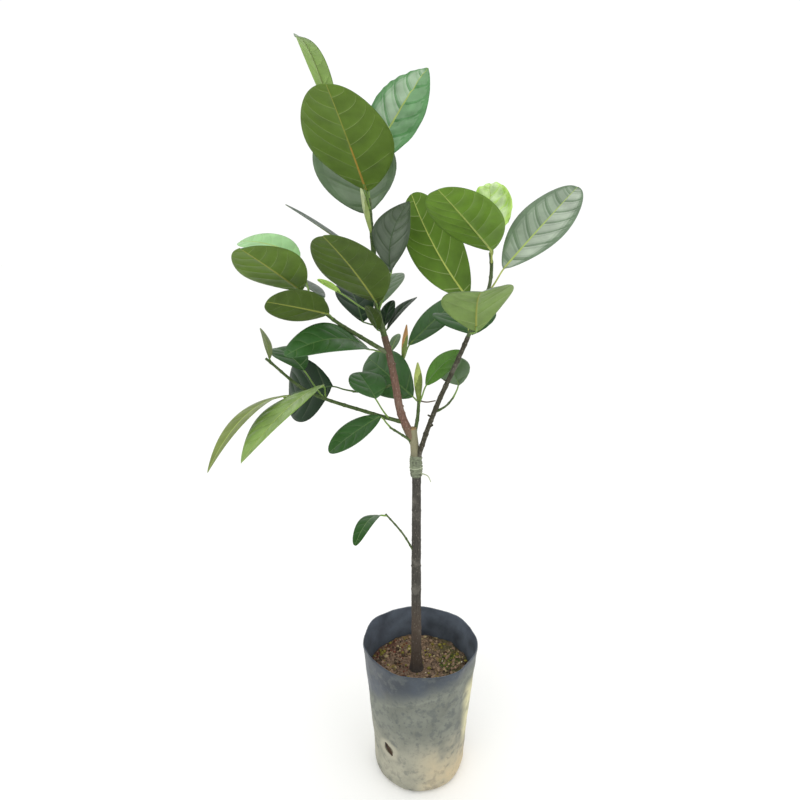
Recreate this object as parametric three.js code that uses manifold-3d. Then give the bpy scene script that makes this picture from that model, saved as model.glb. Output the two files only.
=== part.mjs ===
// A young grafted jackfruit tree standing in a soft black nursery bag.
// Millimetres, +Z up. The origin is the centre of the bag's flat underside, and the side the
// plant is looked at from is -Y. Headings are degrees round +Z from +X, rises are degrees above level.
import * as THREE from "three";
import Module from "manifold-3d";

const wasm = await Module();
wasm.setup();

// Nursery bag and its soil
const BAG_HEIGHT = 187;
const BAG_WALL = 1.6;
const BAG_SIDES = 40;
const BAG_PROFILE = [
  { z: 0, radius: 53 },
  { z: 4, radius: 58.5 },
  { z: 12, radius: 61 },
  { z: 45, radius: 62.5 },
  { z: 100, radius: 66.5 },
  { z: 140, radius: 70 },
  { z: 165, radius: 72.5 },
  { z: BAG_HEIGHT, radius: 75 },
];
const BAG_CREASES = 7;
const BAG_CREASE_DEPTH = 0.9;
const RIM_WAVE = 1;
const RIM_LEAN = { up: 3.5, heading: 239 };
const DRAIN_HOLE = { height: 60, out: 62, deep: 40, long: 20, wide: 8, slant: 30, headings: [230, 50] };
const SOIL_LEVEL = 142;
const SOIL_LUMP = 2.2;
// How far inside the bag's outline the soil stays: its two lowest rings, then the others
const SOIL_LOW_INSETS = [1.4, 2.5];
const SOIL_INSET = 2.1;
const SOIL_FLOOR = 2;
const SOIL_RINGS = [0.86, 0.66, 0.44];
const SEAT_RADIUS = 17;

// Clear space left between one part and the next
const GAP = 0.3;

// Trunk
const TRUNK_THICK = 13.4;
const TRUNK_TOP_THICK = 9.9;
const FLARE = 6;
const FLARE_HEIGHT = 9;
const UNION_HEIGHT = 287;
const UNION_SWELL = 2.6;
const UNION_SPREAD = 12;
const TAPE_HEIGHT = 28;
const TAPE_THICK = 0.9;
const THREAD_THICK = [1.8, 1.4];
const THREAD_FROM = { share: 0.2, heading: 330, out: 6 };
const THREAD_LEGS = [
  { long: 10, heading: 330, rise: -10 },
  { long: 8, heading: 335, rise: -60 },
];

// Limbs: where each leaves its parent, the legs it grows by, and its thickness at root and tip
const TRUNK = {
  x: -4,
  legs: [
    { long: 145, heading: 180, rise: 89.4 },
    { long: 145, heading: 180, rise: 89.5 },
    { long: 45, heading: 180, rise: 84.4 },
  ],
};
const LEADER = {
  at: 318,
  legs: [
    { long: 38, heading: 181, rise: 66 },
    { long: 34, heading: 197, rise: 79 },
    { long: 35, heading: 195, rise: 79 },
    { long: 26, heading: 180, rise: 76 },
  ],
  thick: [10.2, 7.4],
};
const RIGHT = {
  at: 288,
  legs: [
    { long: 20, heading: 329, rise: 73 },
    { long: 28, heading: 346, rise: 73 },
    { long: 40, heading: 347, rise: 70 },
    { long: 47, heading: 347, rise: 67 },
    { long: 34, heading: 352, rise: 68 },
  ],
  thick: [6.2, 4.9],
};

// Leaves. at: millimetres along the stem; stalk: its length, heading and rise; heading and rise: the
// way the blade points; long and wide: the blade; roll: turn about its own midrib; arch: bow as a
// share of the length; bend: sideways bow as a share of the length; blunt: lower is rounder.
const LEAF_SHAPE = { segments: 8, fold: 8, arch: 0.07, bend: 0, thin: 90, blunt: 0.5, full: 1.05 };
const STALK_THICK = 2.6;
const STALK_INTO_BLADE = 0.12;
const BLADE_END_HALF = 0.7;
const BLADE_BASE_NARROWING = 0.18;
const BUD_SHAPE = { end: 0.5, from: 0.12, to: 0.98, power: 0.8 };

const MASSES = [
  {
    name: "leader_middle_leaves",
    on: "leader_bough",
    at: "tip",
    colour: 0x4f6f33,
    reach: 190,
    thick: [7, 5.4],
    legs: [
      { long: 30, heading: 162, rise: 75 },
      { long: 56, heading: 154, rise: 86 },
    ],
    leaves: [
      {
        at: 30, stalk: [11, 263, 49], heading: 247, rise: 32, long: 132, wide: 72, roll: 7, arch: 0.03,
        fold: 3,
      },
      {
        at: 74, stalk: [12, 115, 38], heading: 169, rise: 33, long: 118, wide: 36, roll: 2, arch: 0.01,
        blunt: 0.8,
      },
      { at: 4, stalk: [8, 60, 20], heading: 42, rise: 36, long: 58, wide: 22, roll: -7, blunt: 0.8 },
      { at: 12, stalk: [25, 154, 6], heading: 110, rise: 30, long: 80, wide: 46, roll: 3 },
      { at: 26, stalk: [13, 91, 41], heading: 66, rise: 30, long: 68, wide: 34, roll: -1 },
      { at: 8, stalk: [8, 74, 17], heading: 62, rise: 55, long: 34, wide: 20, roll: -10 },
      { at: 6, stalk: [8, 217, 10], heading: 241, rise: 55, long: 36, wide: 20, roll: -5 },
      {
        at: 28, stalk: [53, 301, 56], heading: 352, rise: 75, long: 75, wide: 61, roll: 49, arch: 0.07,
        bend: -0.1,
      },
      { at: 22, stalk: [50, 180, 32], heading: 187, rise: 31, long: 30, wide: 9, roll: 51 },
    ],
    buds: [],
  },
  {
    name: "leader_tip_leaves",
    on: "leader_middle_leaves",
    at: "tip",
    colour: 0x5a7a38,
    reach: 260,
    thick: [5.4, 4],
    legs: [
      { long: 30, heading: 135, rise: 83 },
      { long: 34, heading: 130, rise: 84 },
    ],
    leaves: [
      {
        at: 60, stalk: [60, 207, 61], heading: 258, rise: 28, long: 140, wide: 30, roll: -28, arch: 0.22,
        bend: 0.22, blunt: 0.8,
      },
      {
        at: 52, stalk: [22, 252, 61], heading: 259, rise: 29, long: 147, wide: 85, roll: -1, arch: 0.01,
        fold: 4,
      },
      {
        at: 62, stalk: [32, 103, 74], heading: 3, rise: 58, long: 122, wide: 54, roll: 81, arch: 0.13,
        blunt: 0.8,
      },
      { at: 44, stalk: [14, 114, 23], heading: 136, rise: 70, long: 108, wide: 94, roll: -29, arch: 0.01 },
    ],
    buds: [{ at: 26, heading: 187, rise: 77, long: 53, thick: 5.8 }],
  },
  {
    name: "upper_left_leaves",
    on: "leader_bough",
    at: 112,
    colour: 0x55743a,
    reach: 250,
    thick: [5.4, 3.2],
    legs: [
      { long: 30, heading: 190, rise: 32 },
      { long: 48, heading: 196, rise: 34 },
      { long: 34, heading: 178, rise: 44 },
    ],
    leaves: [
      { at: 110, stalk: [15, 235, 32], heading: 252, rise: 22, long: 117, wide: 59, roll: 21, arch: 0.01 },
      { at: 74, stalk: [10, 232, 45], heading: 233, rise: 13, long: 88, wide: 44, roll: 47, arch: 0.01 },
      { at: 82, stalk: [27, 110, 42], heading: 134, rise: 19, long: 89, wide: 42, roll: 18, arch: 0.01 },
      { at: 108, stalk: [52, 120, 58], heading: 146, rise: 10, long: 99, wide: 44, roll: -24, arch: 0.06 },
      { at: 4, stalk: [20, 173, 8], heading: 222, rise: 3, long: 110, wide: 48, roll: -30, arch: 0.17 },
    ],
    buds: [],
  },
  {
    name: "left_middle_leaves",
    on: "leader_bough",
    at: 76,
    colour: 0x2f5a3c,
    reach: 170,
    thick: [3.2, 2.6],
    legs: [
      { long: 33, heading: 150, rise: -23 },
      { long: 25, heading: 166, rise: -5 },
    ],
    leaves: [
      { at: 56, stalk: [28, 189, 16], heading: 141, rise: -16, long: 84, wide: 79, roll: -76, arch: 0.09 },
    ],
    buds: [],
  },
  {
    name: "lower_left_leaves",
    on: "leader_bough",
    at: 26,
    colour: 0x6f8f52,
    reach: 260,
    thick: [5, 2.8],
    legs: [
      { long: 46, heading: 185, rise: 18 },
      { long: 75, heading: 192, rise: 23 },
      { long: 58, heading: 193, rise: 42 },
    ],
    leaves: [
      { at: 20, stalk: [38, 234, 50], heading: 129, rise: 37, long: 42, wide: 50, roll: 1, arch: 0.04 },
      {
        at: 98, stalk: [18, 102, 51], heading: 243, rise: -18, long: 151, wide: 58, roll: 18, arch: 0.09,
        bend: -0.07, blunt: 0.8,
      },
      {
        at: 122, stalk: [18, 188, -16], heading: 239, rise: -22, long: 134, wide: 26, roll: 12, arch: 0.16,
        bend: -0.05, blunt: 0.8,
      },
      { at: 100, stalk: [39, 174, 56], heading: 133, rise: 17, long: 62, wide: 40, roll: -5 },
      { at: 172, stalk: [5, 150, 60], heading: 123, rise: 54, long: 39, wide: 20, roll: 46, arch: 0.04 },
    ],
    buds: [],
  },
  {
    name: "fork_leaf",
    on: "trunk",
    at: 316,
    colour: 0x35603f,
    reach: 150,
    thick: [3.2, 2.6],
    legs: [
      { long: 20, heading: 200, rise: 38 },
      { long: 18, heading: 205, rise: 36 },
    ],
    leaves: [
      { at: 37, stalk: [19, 172, 50], heading: 205, rise: -29, long: 73, wide: 34, roll: -24, arch: 0.04 },
    ],
    buds: [],
  },
  {
    name: "centre_leaves",
    on: "trunk",
    at: 322,
    colour: 0x3d7040,
    reach: 160,
    thick: [5, 3.6],
    legs: [
      { long: 26, heading: 48, rise: 74 },
      { long: 24, heading: 60, rise: 83 },
    ],
    leaves: [
      { at: 44, stalk: [12, 126, 21], heading: 135, rise: 25, long: 88, wide: 57, roll: -53, arch: 0.1 },
      { at: 40, stalk: [27, 341, 71], heading: 356, rise: 45, long: 58, wide: 23, roll: 65, bend: -0.05 },
    ],
    buds: [
      { at: 46, heading: 182, rise: 88, long: 46, thick: 9 },
      { at: 46, heading: 350, rise: 2, long: 20, thick: 2.4 },
    ],
  },
  {
    name: "centre_back_leaves",
    on: "trunk",
    at: 306,
    colour: 0x35643f,
    reach: 240,
    thick: [4.6, 3],
    legs: [
      { long: 46, heading: 128, rise: 52 },
      { long: 40, heading: 95, rise: 62 },
      { long: 42, heading: 55, rise: 74 },
    ],
    leaves: [
      { at: 116, stalk: [21, 19, 69], heading: 40, rise: 32, long: 110, wide: 34, roll: 30, arch: 0.01 },
      { at: 88, stalk: [42, 125, 64], heading: 58, rise: 45, long: 28, wide: 12, roll: 11, arch: 0.08 },
    ],
    buds: [{ at: 116, heading: 350, rise: 84, long: 46, thick: 6.5 }],
  },
  {
    name: "right_middle_leaf",
    on: "right_bough",
    at: 71,
    colour: 0x33553f,
    reach: 120,
    thick: [2.8, 2.4],
    legs: [
      { long: 18, heading: 31, rise: 19 },
      { long: 16, heading: 50, rise: 26 },
    ],
    leaves: [
      { at: 34, stalk: [17, 38, 56], heading: 122, rise: 44, long: 45, wide: 48, roll: -8, arch: 0.03 },
    ],
    buds: [],
  },
  {
    name: "right_tip_leaves",
    on: "right_bough",
    at: "tip",
    colour: 0x5d7c3e,
    reach: 240,
    thick: [4.7, 3.6],
    legs: [
      { long: 56, heading: 2, rise: 68 },
      { long: 24, heading: 37, rise: 82 },
      { long: 15, heading: 124, rise: 81 },
    ],
    leaves: [
      {
        at: 3, stalk: [41, 99, 75], heading: 170, rise: 60, long: 128, wide: 68, roll: 65, arch: -0.08,
        fold: 0,
      },
      { at: 4, stalk: [14, 295, 12], heading: 266, rise: 27, long: 112, wide: 73, roll: 10, arch: 0.13 },
      { at: 6, stalk: [11, 74, -24], heading: 96, rise: 10, long: 80, wide: 76, roll: -2 },
      { at: 84, stalk: [17, 261, 51], heading: 237, rise: 24, long: 130, wide: 67, roll: 11, arch: 0.01 },
      { at: 88, stalk: [25, 82, 60], heading: 92, rise: 71, long: 64, wide: 51, roll: -25 },
      { at: 50, stalk: [34, 20, 55], heading: 34, rise: 39, long: 145, wide: 58, roll: 33, arch: 0.01 },
    ],
    buds: [{ at: 90, heading: 40, rise: 86, long: 12, thick: 4 }],
  },
  {
    name: "low_leaf",
    on: "trunk",
    at: 166,
    colour: 0x35593a,
    reach: 170,
    thick: [2.6, 2],
    legs: [
      { long: 38, heading: 202, rise: 62 },
      { long: 38, heading: 203, rise: 54 },
    ],
    leaves: [{ at: 74, stalk: [9, 186, 6], heading: 250, rise: -2, long: 72, wide: 20, roll: 5, arch: 0.13 }],
    buds: [],
  },
];

const radians = THREE.MathUtils.degToRad;

function direction(heading, rise) {
  const level = Math.cos(radians(rise));
  return new THREE.Vector3(
    Math.cos(radians(heading)) * level,
    Math.sin(radians(heading)) * level,
    Math.sin(radians(rise)),
  );
}

// A closed solid from rings of points with the same count, capped at both ends.
function solidFromRings(rings) {
  const count = rings[0].length;
  const points = rings.flat();
  const triangles = [];
  for (let row = 0; row + 1 < rings.length; row += 1) {
    for (let i = 0; i < count; i += 1) {
      const a = row * count + i;
      const b = row * count + ((i + 1) % count);
      triangles.push(a, b, b + count);
      triangles.push(a, b + count, a + count);
    }
  }
  for (const [row, flip] of [[0, true], [rings.length - 1, false]]) {
    const middle = new THREE.Vector3();
    rings[row].forEach((point) => middle.add(point));
    points.push(middle.divideScalar(count));
    for (let i = 0; i < count; i += 1) {
      const a = row * count + i;
      const b = row * count + ((i + 1) % count);
      triangles.push(...(flip ? [b, a] : [a, b]), points.length - 1);
    }
  }
  return solidFrom(points, triangles);
}

function solidFrom(points, triangles) {
  const vertProperties = new Float32Array(points.flatMap((point) => point.toArray()));
  const triVerts = new Uint32Array(triangles);
  return new wasm.Manifold(new wasm.Mesh({ numProp: 3, vertProperties, triVerts }));
}

// The smooth path of a limb through the ends of its legs.
function pathOf(start, legs) {
  const knots = [start.clone()];
  for (const leg of legs) {
    const step = direction(leg.heading, leg.rise).multiplyScalar(leg.long);
    knots.push(knots[knots.length - 1].clone().add(step));
  }
  if (knots.length === 2) {
    return new THREE.LineCurve3(knots[0], knots[1]);
  }
  return new THREE.CatmullRomCurve3(knots, false, "centripetal");
}

// A tapering tube along a path; radiusAt gives its radius at a share of the length, and before and
// after run its two ends on by that much.
function tube(path, radiusAt, sides, segments, before = 0, after = 0) {
  const rings = [];
  let across = new THREE.Vector3(0, -1, 0);
  for (let row = 0; row <= segments; row += 1) {
    const share = row / segments;
    const middle = path.getPointAt(share);
    const along = path.getTangentAt(share);
    if (row === 0 || row === segments) {
      middle.addScaledVector(along, row === 0 ? -before : after);
    }
    across = across.clone().addScaledVector(along, -across.dot(along)).normalize();
    const other = new THREE.Vector3().crossVectors(along, across);
    const radius = radiusAt(share);
    const ring = [];
    for (let i = 0; i < sides; i += 1) {
      const turn = (2 * Math.PI * i) / sides;
      const point = middle.clone().addScaledVector(across, radius * Math.cos(turn));
      ring.push(point.addScaledVector(other, radius * Math.sin(turn)));
    }
    rings.push(ring);
  }
  return solidFromRings(rings);
}

function taper(thick, extra = 0) {
  return (share) => (thick[0] + (thick[1] - thick[0]) * share) / 2 + extra;
}

// Half width of a blade at a share of its length: a narrower base and a blunt, fuller tip.
function halfWidth(leaf, share) {
  const power = leaf.blunt + BLADE_BASE_NARROWING * (1 - share);
  const bulge = Math.sin(Math.PI * Math.pow(share, LEAF_SHAPE.full));
  return BLADE_END_HALF + (leaf.wide / 2 - BLADE_END_HALF) * Math.pow(Math.max(bulge, 0), power);
}

// One leaf: its stalk from the stem, and the blade folded a little along its midrib.
function leafSolids(path, plan) {
  const leaf = { ...LEAF_SHAPE, ...plan };
  const root = path.getPointAt(Math.min(leaf.at / path.getLength(), 1));
  const [stalkLong, stalkHeading, stalkRise] = leaf.stalk;
  const foot = root.clone().addScaledVector(direction(stalkHeading, stalkRise), stalkLong);
  const along = direction(leaf.heading, leaf.rise);
  const level = new THREE.Vector3(along.y, -along.x, 0).normalize();
  const up = new THREE.Vector3().crossVectors(level, along).multiplyScalar(Math.cos(radians(leaf.roll)));
  up.addScaledVector(level, Math.sin(radians(leaf.roll)));
  const side = new THREE.Vector3().crossVectors(along, up);
  const thick = leaf.long / leaf.thin;
  const lift = Math.tan(radians(leaf.fold));
  const midrib = (share) => {
    const bow = 4 * share * (1 - share) * leaf.long;
    const point = foot.clone().addScaledVector(along, leaf.long * share);
    return point.addScaledVector(up, leaf.arch * bow).addScaledVector(side, leaf.bend * bow);
  };
  const rings = [];
  for (let row = 0; row <= leaf.segments; row += 1) {
    const share = row / leaf.segments;
    const middle = midrib(share);
    const half = halfWidth(leaf, share);
    const ring = [];
    for (const [face, places] of [[0.5, [-1, 0, 1]], [-0.5, [1, 0, -1]]]) {
      for (const place of places) {
        const point = middle.clone().addScaledVector(side, half * place);
        ring.push(point.addScaledVector(up, face * thick + Math.abs(place) * half * lift));
      }
    }
    rings.push(ring);
  }
  const stalkEnds = [root, foot, midrib(STALK_INTO_BLADE)];
  const stalkPath = new THREE.CatmullRomCurve3(stalkEnds, false, "centripetal");
  return {
    blade: solidFromRings(rings),
    stalk: tube(stalkPath, taper([STALK_THICK, STALK_THICK * 0.7]), 6, 4),
    tip: midrib(1),
  };
}

// A slim pointed bud standing on the stem.
function budSolid(path, bud) {
  const root = path.getPointAt(Math.min(bud.at / path.getLength(), 1));
  const tip = root.clone().addScaledVector(direction(bud.heading, bud.rise), bud.long);
  const swell = (share) => {
    const place = BUD_SHAPE.from + (BUD_SHAPE.to - BUD_SHAPE.from) * share;
    const fullness = Math.pow(Math.sin(Math.PI * place), BUD_SHAPE.power);
    return BUD_SHAPE.end + (bud.thick / 2 - BUD_SHAPE.end) * fullness;
  };
  return tube(new THREE.LineCurve3(root, tip), swell, 8, 7);
}

// Bag wall radius: its profile with shallow creases running up it.
function bagRadius(profile, turn) {
  const rise = profile.z / BAG_HEIGHT;
  const crease = Math.cos(BAG_CREASES * turn + 1.2 * rise) + 0.6 * Math.cos(3 * turn - rise + 1);
  return profile.radius + BAG_CREASE_DEPTH * crease * Math.min(1, 0.3 + rise);
}

function bagRing(profile, inset, z) {
  const ring = [];
  for (let i = 0; i < BAG_SIDES; i += 1) {
    const turn = (2 * Math.PI * i) / BAG_SIDES;
    const radius = bagRadius(profile, turn) - inset;
    const lean = RIM_LEAN.up * Math.cos(turn - radians(RIM_LEAN.heading));
    const lift = profile.z === BAG_HEIGHT ? lean + RIM_WAVE * Math.sin(2 * turn + 0.6) : 0;
    ring.push(new THREE.Vector3(radius * Math.cos(turn), radius * Math.sin(turn), z + lift));
  }
  return ring;
}

function growBag() {
  const outside = BAG_PROFILE.map((row) => bagRing(row, 0, row.z));
  const inside = BAG_PROFILE.map((row, index) => {
    return index === 0 ? bagRing(row, 0.6, BAG_WALL) : bagRing(row, BAG_WALL, row.z);
  });
  let bag = solidFromRings([...outside, ...inside.reverse()]);
  for (const heading of DRAIN_HOLE.headings) {
    const hole = wasm.Manifold.cylinder(DRAIN_HOLE.deep, 0.5, 0.5, 16, true)
      .scale([DRAIN_HOLE.wide, DRAIN_HOLE.long, 1])
      .rotate([0, 0, DRAIN_HOLE.slant])
      .rotate([90, 0, 90])
      .rotate([0, 0, heading])
      .translate([
        DRAIN_HOLE.out * Math.cos(radians(heading)),
        DRAIN_HOLE.out * Math.sin(radians(heading)),
        DRAIN_HOLE.height,
      ]);
    bag = bag.subtract(hole);
  }
  return bag;
}

function pottingSoil() {
  const rings = [];
  BAG_PROFILE.filter((row) => row.z < SOIL_LEVEL).forEach((row, index) => {
    const inset = SOIL_LOW_INSETS[index] ?? SOIL_INSET;
    rings.push(bagRing(row, inset, Math.max(row.z, SOIL_FLOOR)));
  });
  const edge = rings[rings.length - 1];
  for (const share of SOIL_RINGS) {
    rings.push(edge.map((point, i) => {
      const turn = (2 * Math.PI * i) / BAG_SIDES;
      const lump = Math.sin(3 * turn + 9 * share) + Math.sin(5 * turn - 14 * share);
      return new THREE.Vector3(point.x * share, point.y * share, SOIL_LEVEL + SOIL_LUMP * lump * 0.5);
    }));
  }
  rings.push(edge.map((point) => {
    const seat = SEAT_RADIUS / Math.hypot(point.x, point.y);
    return new THREE.Vector3(point.x * seat, point.y * seat, SOIL_LEVEL);
  }));
  return solidFromRings(rings);
}

const trunkPath = pathOf(new THREE.Vector3(TRUNK.x, 0, SOIL_LEVEL + GAP), TRUNK.legs);

function trunkRadius(share) {
  const height = share * trunkPath.getLength();
  const wood = TRUNK_THICK + (TRUNK_TOP_THICK - TRUNK_THICK) * share;
  const flare = FLARE * Math.exp(-height / FLARE_HEIGHT);
  const swell = UNION_SWELL * Math.exp(-(((height - UNION_HEIGHT) / UNION_SPREAD) ** 2));
  return (wood + flare + swell) / 2;
}

// The trunk is cut level at the soil, so its first ring is laid flat.
function trunkSolid(extra) {
  const solid = tube(trunkPath, (share) => trunkRadius(share) + extra, 12, 28);
  return solid.trimByPlane([0, 0, 1], SOIL_LEVEL + GAP);
}

const limbs = {};
const CLEAR = GAP + 0.05;

function growLimb(name, parent, plan, sides, segments) {
  const from = limbs[parent].path;
  const start = from.getPointAt(plan.at === "tip" ? 1 : plan.at / from.getLength());
  const path = pathOf(start, plan.legs);
  let solid = tube(path, taper(plan.thick), sides, segments, plan.at === "tip" ? 1 : 0);
  if (plan.at === "tip") {
    const normal = from.getTangentAt(1);
    solid = solid.trimByPlane(normal.toArray(), normal.dot(start) + CLEAR);
  }
  limbs[name] = { path, solid, grown: tube(path, taper(plan.thick, CLEAR), sides, segments, CLEAR, CLEAR) };
  return limbs[name];
}

limbs.trunk = {
  path: trunkPath,
  solid: trunkSolid(0),
  grown: tube(trunkPath, (share) => trunkRadius(share) + CLEAR, 12, 28, CLEAR, CLEAR),
};
const leader = growLimb("leader_bough", "trunk", LEADER, 12, 12);
leader.solid = leader.solid.subtract(limbs.trunk.grown);
const right = growLimb("right_bough", "trunk", RIGHT, 12, 14);
right.solid = right.solid.subtract(limbs.trunk.grown).subtract(leader.grown);
const wood = [limbs.trunk, leader, right];
const masses = [];

// A mass: its stem, then its leaves and buds. A leaf that would reach beyond the mass's own space,
// or come too near to what stands already, is left out.
function growMass(plan) {
  const stem = growLimb(plan.name, plan.on, plan, 8, 8);
  const start = stem.path.getPointAt(0);
  let mass = stem.solid;
  for (const leaf of plan.leaves) {
    const { blade, stalk, tip } = leafSolids(stem.path, leaf);
    const meets = wood.some((limb) => blade.minGap(limb.solid, 1) < GAP)
      || masses.some((other) => blade.add(stalk).minGap(other, 1) < GAP);
    if (tip.distanceTo(start) > plan.reach || meets) {
      continue;
    }
    mass = mass.add(blade).add(stalk);
  }
  for (const bud of plan.buds) {
    mass = mass.add(budSolid(stem.path, bud));
  }
  for (const limb of [...wood, ...(plan.on in limbs ? [limbs[plan.on]] : [])]) {
    mass = mass.subtract(limb.grown);
  }
  mass = mass.asOriginal().simplify(0.03);
  masses.push(mass);
  return mass;
}

// The wrap round the graft union, with the end of its thread hanging off.
function tape() {
  const total = trunkPath.getLength();
  const low = (UNION_HEIGHT - TAPE_HEIGHT / 2) / total;
  const high = (UNION_HEIGHT + TAPE_HEIGHT / 2) / total;
  const path = new THREE.LineCurve3(trunkPath.getPointAt(low), trunkPath.getPointAt(high));
  const radiusAt = (share) => trunkRadius(low + (high - low) * share) + CLEAR + TAPE_THICK;
  const start = trunkPath.getPointAt(low + THREAD_FROM.share * (high - low));
  start.addScaledVector(direction(THREAD_FROM.heading, 0), THREAD_FROM.out);
  const thread = tube(pathOf(start, THREAD_LEGS), taper(THREAD_THICK), 6, 6);
  return tube(path, radiusAt, 12, 6).add(thread).subtract(limbs.trunk.grown).subtract(right.grown);
}

const tree = new THREE.Group();
tree.name = "potted_jackfruit_tree";

function place(name, solid, colour, roughness) {
  const mesh = solid.getMesh();
  const geometry = new THREE.BufferGeometry();
  geometry.setAttribute("position", new THREE.BufferAttribute(new Float32Array(mesh.vertProperties), 3));
  geometry.setIndex(new THREE.BufferAttribute(new Uint32Array(mesh.triVerts), 1));
  geometry.computeVertexNormals();
  const material = new THREE.MeshStandardMaterial({ color: colour, roughness, metalness: 0 });
  const part = new THREE.Mesh(geometry, material);
  part.name = name;
  tree.add(part);
}

place("grow_bag", growBag(), 0x454b4e, 0.6);
place("potting_soil", pottingSoil(), 0x5d4a36, 1);
place("trunk", limbs.trunk.solid, 0x6a6156, 0.85);
place("leader_bough", leader.solid, 0x7a5f55, 0.8);
place("right_bough", right.solid, 0x57534a, 0.8);
place("graft_tape", tape(), 0x77836c, 0.7);
for (const plan of MASSES) {
  place(plan.name, growMass(plan), plan.colour, 0.5);
}

export default tree;
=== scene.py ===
"""A young grafted jackfruit tree standing in a soft black nursery bag.

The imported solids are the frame. Each operator grows one group of finished pieces in the space of its
solids: the film bag, the soil, the wood, the graft wrap, the foliage, and the stage round them.
Shapes are worked out in millimetres, +Z up, and turned into metres as each piece is finished.
"""

import math
import random
from collections import namedtuple

import bmesh
import bpy
from bpy.props import FloatProperty, FloatVectorProperty, IntProperty, PointerProperty
from mathutils import Matrix, Vector, noise
from mathutils.bvhtree import BVHTree


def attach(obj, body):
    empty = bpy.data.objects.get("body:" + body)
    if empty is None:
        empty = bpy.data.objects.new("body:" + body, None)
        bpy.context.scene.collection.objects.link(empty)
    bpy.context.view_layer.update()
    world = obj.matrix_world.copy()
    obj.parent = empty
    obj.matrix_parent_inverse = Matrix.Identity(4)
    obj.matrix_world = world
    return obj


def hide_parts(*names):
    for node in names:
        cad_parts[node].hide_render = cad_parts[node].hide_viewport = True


bl_info = {
    "name": "Potted Jackfruit Tree",
    "version": (1, 0, 0),
    "blender": (4, 5, 0),
    "location": "View3D > Sidebar > Plant",
    "description": "Grows a young grafted jackfruit tree in its nursery bag",
    "category": "Add Mesh",
}

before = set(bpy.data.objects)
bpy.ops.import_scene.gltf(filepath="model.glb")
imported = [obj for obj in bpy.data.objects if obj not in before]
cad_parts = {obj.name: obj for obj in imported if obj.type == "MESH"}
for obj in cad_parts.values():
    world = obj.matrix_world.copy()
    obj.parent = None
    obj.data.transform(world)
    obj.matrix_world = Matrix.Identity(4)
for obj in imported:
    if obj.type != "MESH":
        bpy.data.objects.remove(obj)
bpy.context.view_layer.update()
MM = 0.001

# Nursery bag and its soil, as in the solids
BAG_HEIGHT = 187
BAG_PROFILE = [
    (0, 53), (4, 58.5), (12, 61), (45, 62.5), (100, 66.5), (140, 70), (165, 72.5), (BAG_HEIGHT, 75),
]
UNDERSIDE_HOLLOW = 1.6
BAG_CREASES = 7
BAG_CREASE_DEPTH = 0.9
RIM_WAVE = 1
RIM_LEAN = {"up": 3.5, "heading": 239}
DRAIN_HOLE = {"height": 60, "long": 20, "wide": 8, "slant": 30, "headings": [230, 50]}
SOIL_LEVEL = 142

# Finer shapes of the bag: its wrinkles grow in over a stretch above the foot, its rim ripples and turns in,
# its underside is hollow up to a share of its radius, and its rows lie a little closer low down
BAG_SIDES = 176
WRINKLE_START = (4, 20)
RIM_RIPPLE = {"high": 0.7, "step": 3.7}
RIM_TURNED_IN = {"depth": 0.5, "height": 3}
HOLLOW_ENDS = (0.55, 0.95)
ROWS_CLOSER = 1.15
# The wrinkles read noise on a ring of this radius, which moves on by so much for each millimetre up
WRINKLE_RING, WRINKLE_RISE = 2.1, 0.026
# Share of a drain hole's oval within which whole faces are taken out
HOLE_CORE = 0.86

# Finer shapes of the soil: how far it stands inside the film, its foot and shoulder, and its top, which
# lies a little low, is heaped at the trunk and sinks at the film, each between two distances from the middle
SOIL_SIDES = 128
SOIL_CLEARANCE = 0.12
SOIL_FOOT = {"height": 2.6, "rounding": 1.2}
SOIL_SHOULDER = 3.0
SOIL_TOP = {"below": 0.6, "heap": 1.2, "heap_ends": (26, 8), "sink": 0.8, "sink_ends": (56, 68)}
# The soil's lumps start this far from the middle. They are noise, in steps for each millimetre with weights
LUMPS_START = (8, 24)
SOIL_LUMPS = [(0.045, 1.0), (0.12, 0.5), (0.33, 0.28)]
# Crumbs lie this far out and keep this far from the trunk. Each has corners at uneven shares of its radius,
# is narrower one way, leans by up to an angle in radians, and lies a share of its half height up
CRUMB_FIELD = 66.0
CRUMB_CLEARANCE = 10.5
CRUMB_CORNERS, CRUMB_WIDTH = {"least": 0.75, "more": 0.5}, {"least": 0.6, "more": 0.4}
CRUMB_LEAN = 0.5
CRUMB_RAISED = 0.35
RED_BITS_FADE = (10, -40)
MOSS_RIGHT = {"place": (41, 14), "reach": 14}
MOSS_FRONT = {"place": (8, -50), "reach": 9, "share": 0.3}

# Trunk, graft union and its wrap
GAP = 0.3
TRUNK_THICK = 13.4
TRUNK_TOP_THICK = 9.9
FLARE = 6
FLARE_HEIGHT = 9
UNION_HEIGHT = 287
UNION_SWELL = 2.6
UNION_SPREAD = 12
TAPE_HEIGHT = 28
TAPE_THICK = 0.9
TRUNK_FOOT = (-4, 0, SOIL_LEVEL + GAP)
WRAP_STEP = 3.9
# Knots in the wrap: share of its height, turn from the front towards +X, and how far each stands out
WRAP_KNOTS = [(0.86, 1.2, 1.5), (0.3, 5.4, 1.1), (0.55, 3.4, 1.2)]
KNOT_SPREAD = {"along": 0.07, "round": 0.2}
# The wrap's turns read noise on a ring of this radius, which moves on by so much over the wrap's height.
# They run unevenly by a share of a step, and bunch up by finer noise: how much finer, and millimetres
WRAP_RING, WRAP_RISE = 1.6, 6
WRAP_UNEVEN = 0.35
WRAP_BUNCHES = [(1.7, 0.9), (4.1, 0.4)]
# The tie: a thread once round the wrap, and its loose end, each at a share of the wrap's height
TIE_TURN = {"at": 0.34, "out": 1.35, "climb": 4, "thick": 1.2}
TIE_END = {"at": 0.2, "out": 6, "heading": 330, "thick": (1.7, 1.1)}
TIE_END_LEGS = [(10, 330, -10), (8, 335, -60)]

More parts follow.
